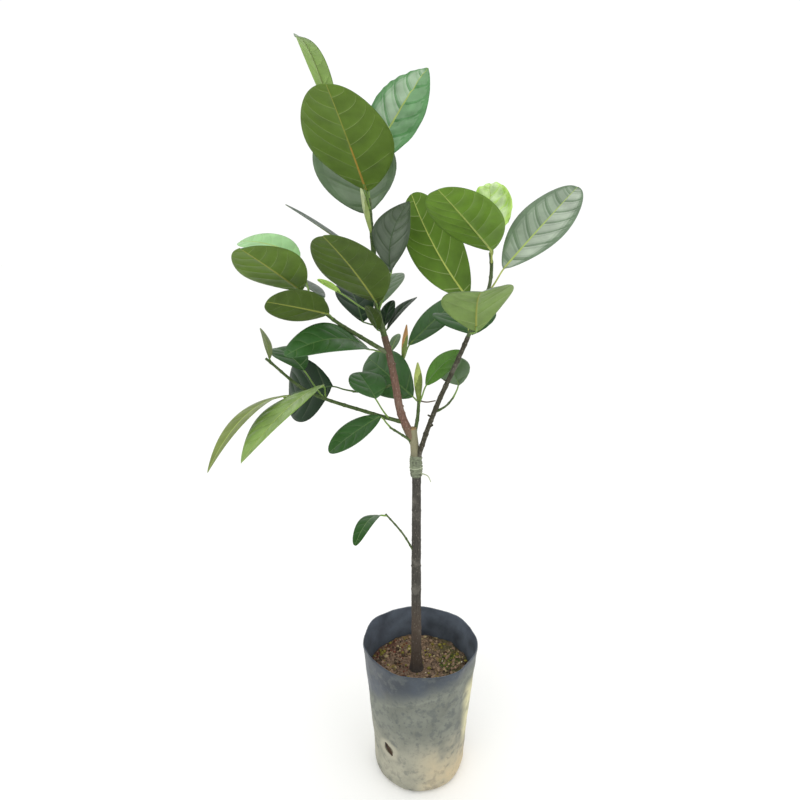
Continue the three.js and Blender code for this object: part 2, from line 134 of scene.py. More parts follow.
# Limbs: legs are (length, heading, rise); headings are degrees round +Z from +X
TRUNK_LEGS = [(145, 180, 89.4), (145, 180, 89.5), (45, 180, 84.4)]
LEADER = {
    "at": 318, "thick": (10.2, 7.4),
    "legs": [(38, 181, 66), (34, 197, 79), (35, 195, 79), (26, 180, 76)],
}
RIGHT = {
    "at": 288, "thick": (6.2, 4.9),
    "legs": [(20, 329, 73), (28, 346, 73), (40, 347, 70), (47, 347, 67), (34, 352, 68)],
}
# The leader is narrower at its very root: the share of its thickness there, and where the rest is reached
LEADER_NECK = {"thin": 0.78, "end": 0.08}

# Bark of each limb. joints are the leaf scars: the first place, the step, the size and a seed. stubs are
# dry ends of fallen leaves and twigs: place, heading and thickness. bands change the colour: two heights in
# metres, how strongly from the first to the second, and the colour as read off a screen
BARK = {
    "trunk": {
        "sides": 40, "rings": 330, "relief": 1.0, "seed": 1, "joints": (30, 34, 0.42, 3),
        "stubs": [(60, 20, 3.2), (118, 165, 2.6), (205, 340, 3.0), (248, 200, 2.6)],
        "stub_rise": 35, "stub_long": None, "lenticels": 0.3,
        "bands": [
            # The dark bluish band down at the soil is painted shade, where the trunk stands in the bag below
            # its rim
            (0.26, 0.2, 0.35, (112, 92, 76)), (0.16, SOIL_LEVEL * MM, 0.45, (46, 48, 54)),
            (0.425, 0.455, 0.75, (150, 146, 116)),
        ],
    },
    "leader_bough": {
        "sides": 32, "rings": 150, "relief": 0.7, "seed": 2, "joints": (16, 19, 0.4, 5),
        "stubs": [(44, 350, 3.0), (62, 230, 2.6), (96, 20, 2.6), (52, 120, 2.4)],
        "stub_rise": 45, "stub_long": 6.2, "lenticels": 0.35,
        "bands": [(0.485, 0.462, 0.5, (128, 118, 92)), (0.535, 0.58, 0.6, (66, 58, 44))],
    },
    "right_bough": {
        "sides": 32, "rings": 170, "relief": 0.8, "seed": 3, "joints": (14, 17, 0.45, 8),
        "stubs": [(65, 185, 2.6), (52, 355, 3.4), (112, 200, 2.2), (134, 20, 2.0)],
        "stub_rise": 30, "stub_long": 6.0, "lenticels": 0.4, "bands": [],
    },
}
# How far a stub without a length of its own stands out of the bark, and what is left of it at its end
STUB_PROUD = 0.9
STUB_TIP = 0.75
# How far the trunk's tube goes on below its foot, and how much of its top shows cut wood
TRUNK_FOOT_SUNK = 1.5
CUT_FACE = 0.8
# The bark's relief reads noise on a ring, whose radius is the first number, and moves on by the second for
# each millimetre along the limb
BARK_RIBS, BARK_GRAIN, BARK_SPOTS = (2.6, 0.035), (7.0, 0.16), (4.2, 0.7)
# A lenticel rises where the spots' noise is above this, by so much of what is above it
LENTICELS = {"above": 0.42, "rise": 2.2}
# No leaf scar lies in the last millimetres of a limb
JOINT_FREE_TIP = 4
SHOOT_RELIEF = 0.16
SHOOT_JOINTS = (8, 13, 0.3)

# What a leaf has where its own line says nothing else: the fold in degrees, the arch, bend and wave as
# shares of its size, the powers that shape its outline, and the crinkle in millimetres
LEAF_SHAPE = {"fold": 8, "arch": 0.07, "bend": 0, "blunt": 0.5, "full": 1.05, "wave": 0.03, "crinkle": 0}
BASE_NARROWS = 0.18
# A stalk's thickness, the shares that it loses at its middle and towards its tip, its sag as a share of its
# length, and how near its blade it starts to turn: at most so far, and a share of its length
STALK_THICK = 2.6
STALK_WAIST, STALK_THINS = 0.18, 0.25
STALK_SAG = 0.025
STALK_TURN = {"most": 5.0, "share": 0.3}
# It ends under the midrib, at a share of the blade's length and so far below its middle layer. The blade's
# arch and bend have this share of their size there
STALK_END = {"at": 0.07, "below": 0.5, "bow": 0.26}
# The size in millimetres from which a leaf's parts have their full size: by its length, but quilt by width
FULL_SIZE = {"vein": 90, "rib": 95, "relief": 80, "quilt": 60}

# A blade's net: columns on each side of its middle, those that the midrib takes, and rows by their share
# of the length at the base, between two veins, and from the last vein to the tip
BLADE_COLUMNS = 11
RIB_COLUMNS = 2
BASE_ROWS = [(0.0, 0.0), (0.02, 0.3), (0.045, 0.6)]
BETWEEN_ROWS = (0.14, 0.28, 0.43, 0.57, 0.72, 0.86)
TIP_ROWS = (0.2, 0.38, 0.54, 0.68, 0.8, 0.89, 0.95, 1.0)
FIRST_VEIN, LAST_VEIN = 0.07, 0.9
# Half a vein's width in millimetres at the midrib, and the share that it loses on its way to the edge
VEIN_HALF = 0.5
VEIN_THINS = 0.55
# How far the right half's veins leave after the left half's, in steps between veins, and the shares of the
# length over which this starts at the base and ends at the tip
VEIN_STAGGER = 0.32
STAGGER_ENDS = (0.08, 0.12)
# How far the veins lean towards the tip: the most, the share of width to length, and the share of the
# blade's length over which they come to lean
VEIN_SWEEP = {"most": 0.42, "by_width": 0.68, "start": 0.4}
# The two halves fold up round a rounding this wide. Each edge waves by so many radians over the length, and
# so many ahead of the midrib's wave or behind it
FOLD_ROUNDING = 2
EDGE_WAVES = 7.5
HALVES_APART = 0.9
# A crinkled leaf reads its noise in steps of this size for each millimetre
CRINKLE_STEP = 0.13
# A blade's pairs of veins: the least, and otherwise a first number and one for each so many millimetres
VEIN_PAIRS = {"least": 4, "first": 2.4, "each": 30}
# Half the width of a blade and of a bud at their ends
BLADE_END_HALF = 0.35
BUD_END_HALF = 0.35
# A bud's keel as a share of its thickness, how far it winds in radians, and where the outer scale ends: at
# a share of the length, which swings to and fro round the bud
BUD_KEEL = 0.09
BUD_TWIST = 2.4
BUD_SCALE = {"end": 0.45, "swing": 0.3, "turn": 0.6}
# A bare twig sags by a share of its length, at a share of the way, and its two ends have these shares of
# its thickness
BARE_TWIG = {"sag": 0.09, "sag_at": 0.45, "ends": (0.8, 0.6)}
# Half the midrib's width at the tip, what it gains towards the base, its most as a share of the blade's, and
# the share of it at which its inner column stands
RIB_HALF = {"tip": 0.28, "gain": 0.95, "most": 0.4, "inner": 0.6}
# The share of the length where the midrib's colour changes beneath
RIB_CHANGE = 0.45
# The midrib's relief over its columns, how deep it sinks above and how far it stands out beneath
RIB_RELIEF = (1.0, 0.72, 0.0)
RIB_SUNK, RIB_PROUD = 0.22, 0.85
# The veins' relief at the midrib and at the edge, where the blade is thinner by this share
VEIN_RELIEF = {"midrib": 0.3, "edge": 0.08}
RIM_THINS = 0.55

# Colours as read off a screen
RIB_TONES = {
    "rib_orange": (178, 144, 60), "rib_green": (84, 116, 62), "rib_dark": (58, 84, 44),
    "rib_olive": (136, 144, 60), "rib_faint": (142, 162, 94), "rib_pale": (160, 180, 96),
    "rib_bright": (186, 198, 98), "rib_soft": (158, 174, 86),
}
BUD_TONES = {
    "bud_white": (184, 196, 146), "bud_green": (104, 122, 50), "bud_lime": (160, 176, 92),
    "bud_orange": (176, 132, 80), "stalk_brown": (92, 78, 62), "stalk_pale": (170, 182, 96),
    "stalk_dark": (78, 104, 50),
}
CRUMB_TONES = {
    "pale": (172, 156, 116), "white": (226, 218, 190), "red": (122, 72, 58), "olive": (132, 124, 60),
}
SOIL_RED, SOIL_SAND = (104, 66, 56), (148, 126, 76)
MOSS_YELLOW = (140, 134, 66)
HOLE_DARK_EDGE = (64, 56, 30)
CUT_WOOD = (142, 120, 84)

# A mass's twigs have these finishes, and its leaf stalks take theirs by the leaf's look
TWIG_FINISHES = ("shoot", "stalk_green", "stalk_pale", "stalk_dark")
STALK_FINISHES = {
    "silver": "stalk_pale", "fresh": "stalk_pale", "banded": "stalk_pale",
    "dark": "stalk_dark", "deep": "stalk_dark",
}

# The midrib above, beneath, and beneath towards the tip
GREEN_RIBS = ("rib_green", "rib_olive", "rib_olive")
YELLOW_RIBS = ("rib_green", "rib_yellow", "rib_olive")
BRIGHT_RIBS = ("rib_pale", "rib_bright", "rib_bright")
PALE_RIBS = ("rib_pale", "rib_pale", "rib_pale")


def look(above, beneath, ribs, veins, shine=0.42, sheen=0.0, lit=(0.7, 1.0)):
    """What a leaf is made of: the leaf colour of each side with how light it is, the midribs, how clearly
    the veins show above and beneath, the gloss of the upper side, and how pale the light lies between its
    veins, with the share of it that each half of the blade takes."""
    return {
        "sides": (above, beneath), "ribs": ribs, "veins": veins, "shine": shine, "sheen": sheen, "lit": lit,
    }


LEAF_LOOKS = {
    "deep": look(("top_deep", 1.0), ("under_olive", 1.0), YELLOW_RIBS, (0.08, 0.24)),
    "dark": look(("top_deep", 0.62), ("under_olive", 0.38), ("rib_dark",) * 3, (0.04, 0.1), shine=0.2),
    "glossy": look(("top_mid", 1.0), ("under_olive", 1.0), YELLOW_RIBS, (0.08, 0.24)),
    "matt": look(("top_mid", 0.85), ("under_olive", 0.8), GREEN_RIBS, (0.08, 0.16), shine=0.12),
    "olive": look(("top_mid", 1.0), ("under_olive", 0.95), GREEN_RIBS, (0.08, 0.14)),
    "shaded": look(("top_mid", 0.9), ("under_olive", 0.58), GREEN_RIBS, (0.08, 0.05), shine=0.4),
    "orange": look(("top_mid", 1.0), ("under_olive", 1.0), ("rib_green", "rib_orange", "rib_olive"),
                   (0.1, 0.22)),
    "fresh": look(("top_mid", 1.0), ("under_fresh", 0.94), ("rib_pale", "rib_soft", "rib_soft"), (0.1, 0.18)),
    "banded": look(("top_mid", 1.0), ("under_fresh", 0.82), BRIGHT_RIBS, (0.1, 0.45)),
    "grey": look(("top_grey", 1.0), ("under_grey", 0.95), GREEN_RIBS, (0.1, 0.1), shine=0.4),
    "dusky": look(("top_grey", 0.5), ("under_grey", 0.9), ("rib_dark",) * 3, (0.06, 0.12),
                  shine=0.4, sheen=0.12),
    "faded": look(("top_grey", 1.3), ("under_grey", 1.6), ("rib_pale", "rib_faint", "rib_faint"), (0.1, 0.05),
                  shine=0.4, sheen=0.1),
    "dull": look(("top_grey", 0.95), ("under_grey", 0.9), GREEN_RIBS, (0.06, 0.16), shine=0.4, sheen=0.16),
    # These two leaves are pale through painted sheen between their veins, more on one half of each
    "silver": look(("top_silver", 0.72), ("under_fresh", 1.0), BRIGHT_RIBS, (0.0, 0.24),
                   shine=0.5, sheen=0.6, lit=(0.45, 1.0)),
    "frosted": look(("top_sheened", 0.9), ("under_fresh", 1.0), BRIGHT_RIBS, (0.0, 0.24),
                    shine=0.4, sheen=0.5, lit=(1.0, 0.35)),
    "bright": look(("top_bright", 0.62), ("under_fresh", 1.0), GREEN_RIBS, (0.06, 0.24), shine=0.3),
    "light": look(("top_light", 0.82), ("under_grey", 1.1), PALE_RIBS, (0.1, 0.2), shine=0.3, sheen=0.06),
    "straw": look(("top_straw", 1.0), ("under_grey", 0.9), PALE_RIBS, (0.06, 0.12), shine=0.25),
    "mint": look(("young_mint", 0.95), ("young_mint", 0.95), PALE_RIBS, (0.15, 0.2), shine=0.4),
    "lime": look(("young_lime", 0.95), ("young_lime", 0.95), PALE_RIBS, (0.25, 0.25), shine=0.4, sheen=0.6),
}
UNDER_SHINE = 0.28
SHEEN_STEPS = 5
LEAF_ROUGHNESS = {"top": 0.38, "under": 0.55}

MASSES = [
    {
        "name": "leader_middle_leaves", "on": "leader_bough", "at": "tip", "reach": 190,
        "thick": (7, 5.4), "legs": [(30, 162, 75), (56, 154, 86)],
        "leaves": [
            {"at": 30, "stalk": (11, 263, 49), "heading": 247, "rise": 32, "long": 132, "wide": 72,
             "roll": 7, "arch": 0.03, "fold": 3, "look": "shaded"},
            {"at": 74, "stalk": (12, 115, 38), "heading": 169, "rise": 33, "long": 118, "wide": 36,
             "roll": 2, "arch": 0.01, "blunt": 0.8, "look": "deep"},
            {"at": 4, "stalk": (8, 60, 20), "heading": 42, "rise": 36, "long": 58, "wide": 22, "roll": -7,
             "blunt": 0.8, "look": "dark"},
            {"at": 12, "stalk": (25, 154, 6), "heading": 110, "rise": 30, "long": 80, "wide": 46, "roll": 3,
             "look": "dark"},
            {"at": 26, "stalk": (13, 91, 41), "heading": 66, "rise": 30, "long": 68, "wide": 34, "roll": -1,
             "look": "grey"},
            {"at": 8, "stalk": (8, 74, 17), "heading": 62, "rise": 55, "long": 34, "wide": 20, "roll": -10,
             "look": "dark"},
            {"at": 6, "stalk": (8, 217, 10), "heading": 241, "rise": 55, "long": 36, "wide": 20, "roll": -5,
             "look": "dark"},
            {"at": 28, "stalk": (53, 301, 56), "heading": 352, "rise": 75, "long": 75, "wide": 61,
             "roll": 49, "arch": 0.07, "bend": -0.1, "blunt": 0.85, "look": "dusky"},
            {"at": 22, "stalk": (50, 180, 32), "heading": 187, "rise": 31, "long": 30, "wide": 9,
             "roll": 51, "look": "lime"},
        ],
        "buds": [],
    },
    {
        "name": "leader_tip_leaves", "on": "leader_middle_leaves", "at": "tip", "reach": 260,
        "thick": (5.4, 4), "legs": [(30, 135, 83), (34, 130, 84)],
        "leaves": [
            {"at": 60, "stalk": (60, 207, 61), "heading": 258, "rise": 28, "long": 140, "wide": 30,
             "roll": -28, "arch": 0.22, "bend": 0.22, "blunt": 0.8, "look": "faded"},
            {"at": 52, "stalk": (22, 252, 61), "heading": 259, "rise": 29, "long": 147, "wide": 85,
             "roll": -1, "arch": 0.01, "fold": 4, "look": "orange"},
            {"at": 62, "stalk": (32, 103, 74), "heading": 3, "rise": 58, "long": 122, "wide": 54,
             "roll": 81, "arch": 0.13, "blunt": 0.8, "crinkle": 4, "look": "frosted"},
            {"at": 44, "stalk": (14, 114, 23), "heading": 136, "rise": 70, "long": 108, "wide": 94,
             "roll": -29, "arch": 0.01, "look": "dull"},
        ],
        "buds": [
            {"at": 26, "heading": 187, "rise": 77, "long": 53, "thick": 5.8,
             "look": ("bud_pale", "bud_white")},
        ],
    },
    {
        "name": "upper_left_leaves", "on": "leader_bough", "at": 112, "reach": 250,
        "thick": (5.4, 3.2), "legs": [(30, 190, 32), (48, 196, 34), (34, 178, 44)],
        "leaves": [
            {"at": 110, "stalk": (15, 235, 32), "heading": 252, "rise": 22, "long": 117, "wide": 59,
             "roll": 21, "arch": 0.01, "look": "olive"},
            {"at": 74, "stalk": (10, 232, 45), "heading": 233, "rise": 13, "long": 88, "wide": 44,
             "roll": 47, "arch": 0.01, "look": "shaded"},
            {"at": 82, "stalk": (27, 110, 42), "heading": 134, "rise": 19, "long": 89, "wide": 42,
             "roll": 18, "arch": 0.01, "look": "deep"},
            {"at": 108, "stalk": (52, 120, 58), "heading": 146, "rise": 10, "long": 99, "wide": 44,
             "roll": -24, "arch": 0.06, "look": "mint"},
            {"at": 4, "stalk": (20, 173, 8), "heading": 222, "rise": 3, "long": 110, "wide": 48,
             "roll": -30, "arch": 0.17, "look": "glossy"},
        ],
        "buds": [],
    },
    {
        "name": "left_middle_leaves", "on": "leader_bough", "at": 76, "reach": 170,
        "thick": (3.2, 2.6), "legs": [(33, 150, -23), (25, 166, -5)],
        "leaves": [
            {"at": 56, "stalk": (28, 189, 16), "heading": 141, "rise": -16, "long": 84, "wide": 79,
             "roll": -76, "arch": 0.09, "look": "dark"},
        ],
        "buds": [],
    },
    {
        "name": "lower_left_leaves", "on": "leader_bough", "at": 26, "reach": 260,
        "thick": (5, 2.8), "legs": [(46, 185, 18), (75, 192, 23), (58, 193, 42)],
        "leaves": [
            {"at": 20, "stalk": (38, 234, 50), "heading": 129, "rise": 37, "long": 42, "wide": 50,
             "roll": 1, "arch": 0.04, "look": "glossy"},
            {"at": 98, "stalk": (18, 102, 51), "heading": 243, "rise": -18, "long": 151, "wide": 58,
             "roll": 18, "arch": 0.09, "bend": -0.07, "blunt": 0.8, "look": "light"},
            {"at": 122, "stalk": (18, 188, -16), "heading": 239, "rise": -22, "long": 134, "wide": 26,
             "roll": 12, "arch": 0.16, "bend": -0.05, "blunt": 0.8, "look": "straw"},
            {"at": 100, "stalk": (39, 174, 56), "heading": 133, "rise": 17, "long": 62, "wide": 40,
             "roll": -5, "look": "matt"},
            {"at": 172, "stalk": (5, 150, 60), "heading": 123, "rise": 54, "long": 39, "wide": 20,
             "roll": 46, "arch": 0.04, "look": "straw"},
        ],
        "buds": [],
    },
    {
        "name": "fork_leaf", "on": "trunk", "at": 316, "reach": 150,
        "thick": (3.2, 2.6), "legs": [(20, 200, 38), (18, 205, 36)],
        "leaves": [
            {"at": 37, "stalk": (19, 172, 50), "heading": 205, "rise": -29, "long": 73, "wide": 34,
             "roll": -24, "arch": 0.04, "look": "glossy"},
        ],
        "buds": [],
    },
    {
        "name": "centre_leaves", "on": "trunk", "at": 322, "reach": 160,
        "thick": (5, 3.6), "legs": [(26, 48, 74), (24, 60, 83)],
        "leaves": [
            {"at": 44, "stalk": (12, 126, 21), "heading": 135, "rise": 25, "long": 88, "wide": 57,
             "roll": -53, "arch": 0.1, "look": "glossy"},
            {"at": 40, "stalk": (27, 341, 71), "heading": 356, "rise": 45, "long": 58, "wide": 23,
             "roll": 65, "bend": -0.05, "look": "bright"},
        ],
        "buds": [
            {"at": 46, "heading": 182, "rise": 88, "long": 46, "thick": 9,
             "look": ("bud_green", "bud_lime")},
            {"at": 46, "heading": 350, "rise": 2, "long": 20, "thick": 2.4,
             "look": ("stalk_brown", "stalk_brown")},
        ],
    },
    {
        "name": "centre_back_leaves", "on": "trunk", "at": 306, "reach": 240,
        "thick": (4.6, 3), "legs": [(46, 128, 52), (40, 95, 62), (42, 55, 74)],
        "leaves": [
            {"at": 116, "stalk": (21, 19, 69), "heading": 40, "rise": 32, "long": 110, "wide": 34,
             "roll": 30, "arch": 0.01, "look": "glossy"},
            {"at": 88, "stalk": (42, 125, 64), "heading": 58, "rise": 45, "long": 28, "wide": 12,
             "roll": 11, "arch": 0.08, "look": "faded"},
        ],
        "buds": [
            {"at": 116, "heading": 350, "rise": 84, "long": 46, "thick": 6.5,
             "look": ("bud_green", "bud_orange")},
        ],
    },
    {
        "name": "right_middle_leaf", "on": "right_bough", "at": 71, "reach": 120,
        "thick": (2.8, 2.4), "legs": [(18, 31, 19), (16, 50, 26)],
        "leaves": [
            {"at": 34, "stalk": (17, 38, 56), "heading": 122, "rise": 44, "long": 45, "wide": 48,
             "roll": -8, "arch": 0.03, "look": "grey"},
        ],
        "buds": [],
    },
    {
        "name": "right_tip_leaves", "on": "right_bough", "at": "tip", "reach": 240,
        "thick": (4.7, 3.6), "legs": [(56, 2, 68), (24, 37, 82), (15, 124, 81)],
        "leaves": [
            {"at": 3, "stalk": (41, 99, 75), "heading": 170, "rise": 60, "long": 128, "wide": 68,
             "roll": 65, "arch": -0.08, "fold": 0, "look": "banded"},
            {"at": 4, "stalk": (14, 295, 12), "heading": 266, "rise": 27, "long": 112, "wide": 73,
             "roll": 10, "arch": 0.13, "look": "grey"},
            {"at": 6, "stalk": (11, 74, -24), "heading": 96, "rise": 10, "long": 80, "wide": 76, "roll": -2,
             "look": "matt"},
            {"at": 84, "stalk": (17, 261, 51), "heading": 237, "rise": 24, "long": 130, "wide": 67,
             "roll": 11, "arch": 0.01, "look": "fresh"},
            {"at": 88, "stalk": (25, 82, 60), "heading": 92, "rise": 71, "long": 64, "wide": 51,
             "roll": -25, "crinkle": 7, "wave": 0.09, "look": "lime"},
            {"at": 50, "stalk": (34, 20, 55), "heading": 34, "rise": 39, "long": 145, "wide": 58,
             "roll": 33, "arch": 0.01, "look": "silver"},
        ],
        "buds": [
            {"at": 90, "heading": 40, "rise": 86, "long": 12, "thick": 4, "look": ("bud_green", "bud_lime")},
        ],
    },
    {
        "name": "low_leaf", "on": "trunk", "at": 166, "reach": 170,
        "thick": (2.6, 2), "legs": [(38, 202, 62), (38, 203, 54)],
        "leaves": [
            {"at": 74, "stalk": (9, 186, 6), "heading": 250, "rise": -2, "long": 72, "wide": 20, "roll": 5,
             "arch": 0.13, "look": "matt"},
        ],
        "buds": [],
    },
]


# Settings a user would change

def from_screen(red, green, blue):
    """A colour as read off a screen, 0 to 255, as the linear values that shaders take."""
    return tuple(
        value / 12.92 if value <= 0.04045 else ((value + 0.055) / 1.055) ** 2.4
        for value in (red / 255, green / 255, blue / 255)
    )


def length(name, metres, note):
    """A setting for a length, which the panel shows in the scene's own unit."""
    return FloatProperty(name=name, description=note, default=metres, min=0.0, precision=5, unit="LENGTH")


def colour(name, screen, note):
    """A setting for a colour, given as read off a screen."""
    return FloatVectorProperty(
        name=name, description=note, default=from_screen(*screen), size=3, min=0.0, max=1.0, subtype="COLOR"
    )


class BagSettings(bpy.types.PropertyGroup):
    film: length("Film thickness", 0.0007, "Thickness of the bag's film")
    wrinkle: length("Wrinkle depth", 0.0011, "Depth of the soft wrinkles in the film")
    slate: colour("Clean film", (52, 60, 69), "The film where it is clean, along the rim")
    lining: colour("Film inside", (84, 92, 102), "The inner face of the film, above the soil")
    dust: colour("Dusty film", (118, 122, 112), "The dry film of dust on the filled part of the bag")
    chalk: colour("Chalky film", (176, 172, 152), "The paler, chalky film low on the bag")
    stain: colour("Soil stain", (196, 178, 142), "The beige soil stain low on one side")
    gleam: colour("Lit edge", (222, 216, 172), "The yellowish strip of light down the right of the bag")


class SoilSettings(bpy.types.PropertyGroup):
    lump: length("Lump height", 0.0036, "Height of the lumps in the soil's surface")
    crumbs: IntProperty(
        name="Crumbs", description="How many loose crumbs lie on the soil", default=900, min=0, max=3000
    )
    ground: colour("Soil", (114, 96, 80), "The damp soil")
    crumb: colour("Crumbs", (150, 126, 104), "Most of the loose crumbs")
    moss: colour("Moss", (76, 88, 46), "The patches of moss")


class WoodSettings(bpy.types.PropertyGroup):
    relief: length("Bark relief", 0.00045, "Depth of the bark's relief on the trunk")
    trunk: colour("Trunk bark", (66, 64, 59), "The grey-brown bark of the trunk")
    leader: colour("Leader bark", (112, 86, 74), "The pinkish brown bark of the leader bough")
    right: colour("Right bark", (62, 60, 48), "The dark bark of the right bough")
    shoot: colour("Green shoot", (74, 92, 52), "The green bark of the young shoots")
    stalk: colour("Leaf stalk", (112, 142, 66), "The leaf stalks")


class WrapSettings(bpy.types.PropertyGroup):
    ridge: length("Wrap ridge", 0.00055, "How far each turn of the wrap stands out")
    wrap: colour("Wrap", (128, 136, 112), "The weathered wrap round the graft union")
    thread: colour("Thread", (176, 184, 156), "The loose end of the tie")


class LeafSettings(bpy.types.PropertyGroup):
    thick: length("Blade thickness", 0.0005, "Thickness of a leaf blade")
    quilt: length("Quilting", 0.0011, "How far the blade swells between its veins")
    top_deep: colour("Deep upper side", (34, 63, 36), "The dark glossy upper side of most leaves")
    top_mid: colour("Green upper side", (52, 92, 42), "The mid-green upper side")
    # This greyish tone is partly the leaf's own and partly painted sheen
    top_grey: colour("Greyish upper side", (86, 110, 76), "An upper side with a greyish bloom")
    # The two pale leaves owe their paleness mostly to the painted sheen laid over these upper sides
    top_silver: colour("Silvery upper side", (112, 138, 106), "The upper side of the right-hand pale leaf")
    top_sheened: colour("Frosted upper side", (88, 142, 84), "The upper side of the topmost pale leaf")
    top_bright: colour("Bright upper side", (86, 138, 40), "The bright green of a half-grown leaf")
    top_light: colour("Light upper side", (134, 168, 78), "The light green of a hanging leaf")
    top_straw: colour("Straw upper side", (112, 128, 62), "The olive of the outermost hanging leaf")
    under_olive: colour("Olive underside", (92, 119, 42), "The matte olive underside of most leaves")
    under_fresh: colour("Fresh underside", (104, 140, 44), "The fresher underside on the right bough")
    under_grey: colour("Greyish underside", (114, 140, 72), "A paler, greyish underside")
    young_mint: colour("Young leaf", (150, 200, 132), "A young pale leaf")
    young_lime: colour("Newest leaf", (188, 228, 112), "The newest yellow-green leaves")
    vein: colour("Veins", (180, 196, 130), "What the veins lean towards")
    # The colour that the painted sheen of reflected light leans towards
    painted_sheen: colour("Sheen", (206, 216, 200), "The pale sheen on the leaves that face the light")
    rib: colour("Midrib", (156, 152, 62), "The yellow midrib on the undersides")
    bud: colour("Bud", (150, 168, 96), "The pale unopened bud")


class StageSettings(bpy.types.PropertyGroup):
    floor: colour("Floor", (254, 254, 252), "The pale floor and backdrop")
    sky: FloatProperty(
        name="Room light", description="Strength of the soft light from all round", default=1.04, min=0.0
    )
    key: FloatProperty(
        name="Key light", description="Power of the large soft light", default=9.0, min=0.0, unit="POWER"
    )
    lens: FloatProperty(
        name="Lens", description="Focal length on a 36 mm wide sensor", default=25.5,
        subtype="DISTANCE_CAMERA",
    )
    camera: FloatVectorProperty(
        name="Camera", description="Where the camera stands", default=(-0.026, -0.643, 0.684), size=3,
        unit="LENGTH",
    )


SETTINGS = {
    "plant_bag": BagSettings, "plant_soil": SoilSettings, "plant_wood": WoodSettings,
    "plant_wrap": WrapSettings, "plant_leaf": LeafSettings, "plant_stage": StageSettings,
}


# Small helpers

def smooth(start, end, value):
    """Goes softly from 0 to 1 as the value goes from start to end, up or down."""
    share = min(max((value - start) / (end - start), 0.0), 1.0)
    return share * share * (3 - 2 * share)


def direction(heading, rise):
    """The way at a heading round +Z from +X and a rise above the level, both in degrees."""
    level = math.cos(math.radians(rise))
    across = math.radians(heading)
    return Vector((math.cos(across) * level, math.sin(across) * level, math.sin(math.radians(rise))))


def shaded(rgb, factor):
    """A colour made darker or lighter."""
    return tuple(min(value * factor, 1.0) for value in rgb)


def mixed(first, second, share):
    """A colour a share of the way from the first to the second."""
    return tuple(start + (end - start) * share for start, end in zip(first, second))


def round_point(turn, radius, height):
    """The point at a turn round +Z, in radians, with its distance from that axis and its height."""
    return Vector((radius * math.cos(turn), radius * math.sin(turn), height))


def finish_piece(bm, name, finishes, nodes, slot):
    """Turn a mesh in millimetres into a finished piece in metres that stands for those solids."""
    bmesh.ops.recalc_face_normals(bm, faces=bm.faces)
    bmesh.ops.scale(bm, vec=(MM, MM, MM), verts=bm.verts)
    mesh = bpy.data.meshes.new(name)
    bm.to_mesh(mesh)
    bm.free()
    for finish in finishes:
        mesh.materials.append(finish)
    mesh.shade_smooth()
    piece = bpy.data.objects.new(name, mesh)
    bpy.context.scene.collection.objects.link(piece)
    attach(piece, "root")
    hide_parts(*nodes)


# Paths and tubes

class Path:
    """The smooth run of a limb through the ends of its legs, read by its share of the length."""

    def __init__(self, knots, steps=160):
        self.knots = [Vector(knot) for knot in knots]
        shares = [step / steps for step in range(steps + 1)]
        if len(self.knots) == 2:
            self.run = [self.knots[0].lerp(self.knots[1], share) for share in shares]
        else:
            self.run = [self._through(share) for share in shares]
        self.marks = [0.0]
        for here, there in zip(self.run, self.run[1:]):
            self.marks.append(self.marks[-1] + (there - here).length)
        self.long = self.marks[-1]

    @classmethod
    def of_legs(cls, start, legs):
        """The path from a start through legs of (length, heading, rise)."""
        knots = [Vector(start)]
        for long, heading, rise in legs:
            knots.append(knots[-1] + direction(heading, rise) * long)
        return cls(knots)

    def _through(self, share):
        """A centripetal spline through the knots: from b to c, with a before them and d after."""
        place = share * (len(self.knots) - 1)
        leg = min(int(place), len(self.knots) - 2)
        part = place - leg
        b, c = self.knots[leg], self.knots[leg + 1]
        a = self.knots[leg - 1] if leg else b + b - c
        d = self.knots[leg + 2] if leg + 2 < len(self.knots) else c + c - b
        ab, bc, cd = ((end - start).length ** 0.5 for start, end in ((a, b), (b, c), (c, d)))
        out = ((b - a) / ab - (c - a) / (ab + bc) + (c - b) / bc) * bc
        into = ((c - b) / bc - (d - b) / (bc + cd) + (d - c) / cd) * bc
        square, cube = c * 3 - b * 3 - out * 2 - into, b * 2 - c * 2 + out + into
        return b + out * part + square * part**2 + cube * part**3

    def at(self, share):
        """The point and the way on at a share of the length."""
        mark = min(max(share, 0.0), 1.0) * self.long
        low, high = 0, len(self.marks) - 1
        while high - low > 1:
            middle = (low + high) // 2
            low, high = (middle, high) if self.marks[middle] <= mark else (low, middle)
        step = self.marks[high] - self.marks[low]
        along = (self.run[high] - self.run[low]).normalized()
        return self.run[low].lerp(self.run[high], (mark - self.marks[low]) / step), along

    def point(self, far):
        """The point so many millimetres along the path, or its tip where that is nearer."""
        return self.at(far / self.long)[0]

    def stations(self, count, before=0.0, after=0.0):
        """Evenly spaced (point, along, across, other) along the path, with a frame that doesn't twist. The
        first and the last are moved out by before and after."""
        made, across, half = [], Vector((0, -1, 0)), 0.5 / count
        for step in range(count + 1):
            share = step / count
            point, _ = self.at(share)
            along = (self.at(min(share + half, 1))[1] + self.at(max(share - half, 0))[1]).normalized()
            if step in (0, count):
                point = point + along * (-before if step == 0 else after)
            across = (across - along * across.dot(along)).normalized()
            made.append((point, along, across, along.cross(across)))
        return made


# A tube's end faces are inset and drawn out by these shares of its last radius
TIP_INSET, TIP_OUT = 0.45, 0.25


